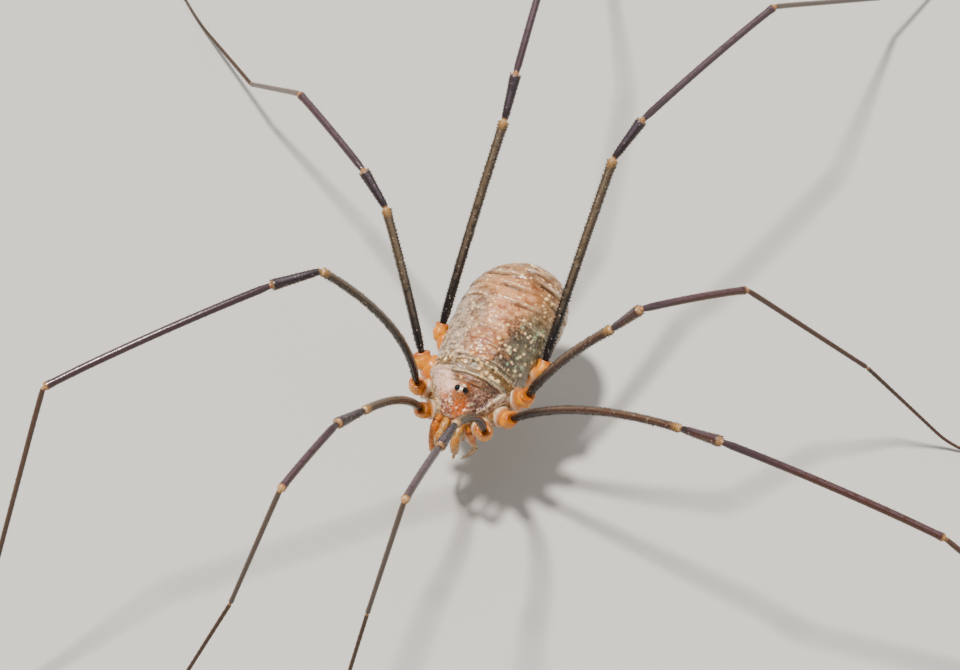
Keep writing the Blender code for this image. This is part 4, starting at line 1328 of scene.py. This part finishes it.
# Build all pieces
makeBody()
print("body skin made")
makeEyes()
print("eyes made")
legSkins = [legMaterial(part + "Cuticle", look) for part, look in segments.items()]
legSkins += [
    plainCuticle("jointSkin", "9a5a26", "bd8146", 0.35, 0.3),
    plainCuticle("toothHorn", "1c1312", "3a2c28", 0.2, 0.0),
]
coxaSkins = coxaMaterials()
for word in bodySides:
    for number in (1, 2, 3, 4):
        femurPath = makeLeg(word, number, legSkins)
        makeCoxa(word, number, femurPath, coxaSkins)
    print("legs made:", word)
mouthSkins = [
    plainCuticle("cheliceraCuticle", "b57220", "d49c52", 0.28, 0.4),
    plainCuticle("palpCuticle", "c45c08", "e8902a", 0.28, 0.12),
    plainCuticle("mouthHorn", "3a2216", "5a3620", 0.3, 0.0),
    plainCuticle("palpTipCuticle", "b08448", "d8b482", 0.3, 0.4),
]
for word in bodySides:
    makeChelicera(word, mouthSkins)
    makePalp(word, mouthSkins)
print("mouth parts made")


# Floor, light and camera
roomLook = {
    "floor": "d9d6d0", "half": 4.0, "world": 0.42, "worldTint": (1.0, 0.98, 0.96, 1.0),
    # right, up and towards the camera, strength, softness in degrees, tint
    "key": (-0.30, 0.62, 0.72, 6.2, 6.0, (1.0, 0.96, 0.90)),
    "fill": (0.75, 0.15, 0.60, 0.45, 50.0, (0.90, 0.95, 1.0)),
    "behind": (0.15, 0.95, 0.30, 0.45, 40.0, (1.0, 1.0, 1.0)),
}
floorSigns = ((-1, -1), (1, -1), (1, 1), (-1, 1))
# degrees round the animal and above the floor, then millimetres; the clip is in metres
cameraLook = {
    "azimuth": 22.8, "elevation": 60.0, "distance": 200.0,
    "right": 0.374, "up": 2.178, "width": 41.74, "sensor": 36.0, "clip": (0.01, 10.0),
}


def makeRoom():
    mesh = bpy.data.meshes.new("floor")
    corners = [(x * roomLook["half"], y * roomLook["half"], 0.0) for x, y in floorSigns]
    mesh.from_pydata(corners, [], [(0, 1, 2, 3)])
    floor = addObject("floor", mesh)
    made, _, shader = newMaterial("floorPaint", rough=0.7, specular=0.2)
    shader.inputs["Base Color"].default_value = (*tone(roomLook["floor"]), 1.0)
    mesh.materials.append(made)
    world = bpy.data.worlds.new("studio")
    world.use_nodes = True
    background = world.node_tree.nodes["Background"]
    background.inputs["Color"].default_value = roomLook["worldTint"]
    background.inputs["Strength"].default_value = roomLook["world"]
    bpy.context.scene.world = world


def viewAxes():
    turn = math.radians(cameraLook["azimuth"])
    rise = math.radians(cameraLook["elevation"])
    level = math.cos(rise)
    back = Vector((math.sin(turn) * level, -math.cos(turn) * level, math.sin(rise)))
    right = Vector((math.cos(turn), math.sin(turn), 0.0))
    return right, back.cross(right), back


def makeLight(name):
    right, up, back, power, spread, tint = roomLook[name]
    axes = viewAxes()
    way = (axes[0] * right + axes[1] * up + axes[2] * back).normalized()
    light = bpy.data.lights.new(name, "SUN")
    light.angle = math.radians(spread)
    light.energy = power
    light.color = tint
    lamp = addObject(name, light)
    lamp.rotation_mode = "QUATERNION"
    lamp.rotation_quaternion = way.to_track_quat("Z", "Y")


def makeCamera():
    right, up, back = viewAxes()
    camera = bpy.data.cameras.new("camera")
    camera.sensor_width = cameraLook["sensor"]
    camera.lens = cameraLook["sensor"] * cameraLook["distance"] / cameraLook["width"]
    camera.clip_start, camera.clip_end = cameraLook["clip"]
    eye = addObject("camera", camera)
    target = Vector(waist) + right * cameraLook["right"] + up * cameraLook["up"]
    eye.location = (target + back * cameraLook["distance"]) * mm
    eye.rotation_mode = "QUATERNION"
    eye.rotation_quaternion = back.to_track_quat("Z", "Y")
    bpy.context.scene.camera = eye


makeRoom()
for name in ("key", "fill", "behind"):
    makeLight(name)
makeCamera()
print("room, lights and camera made")
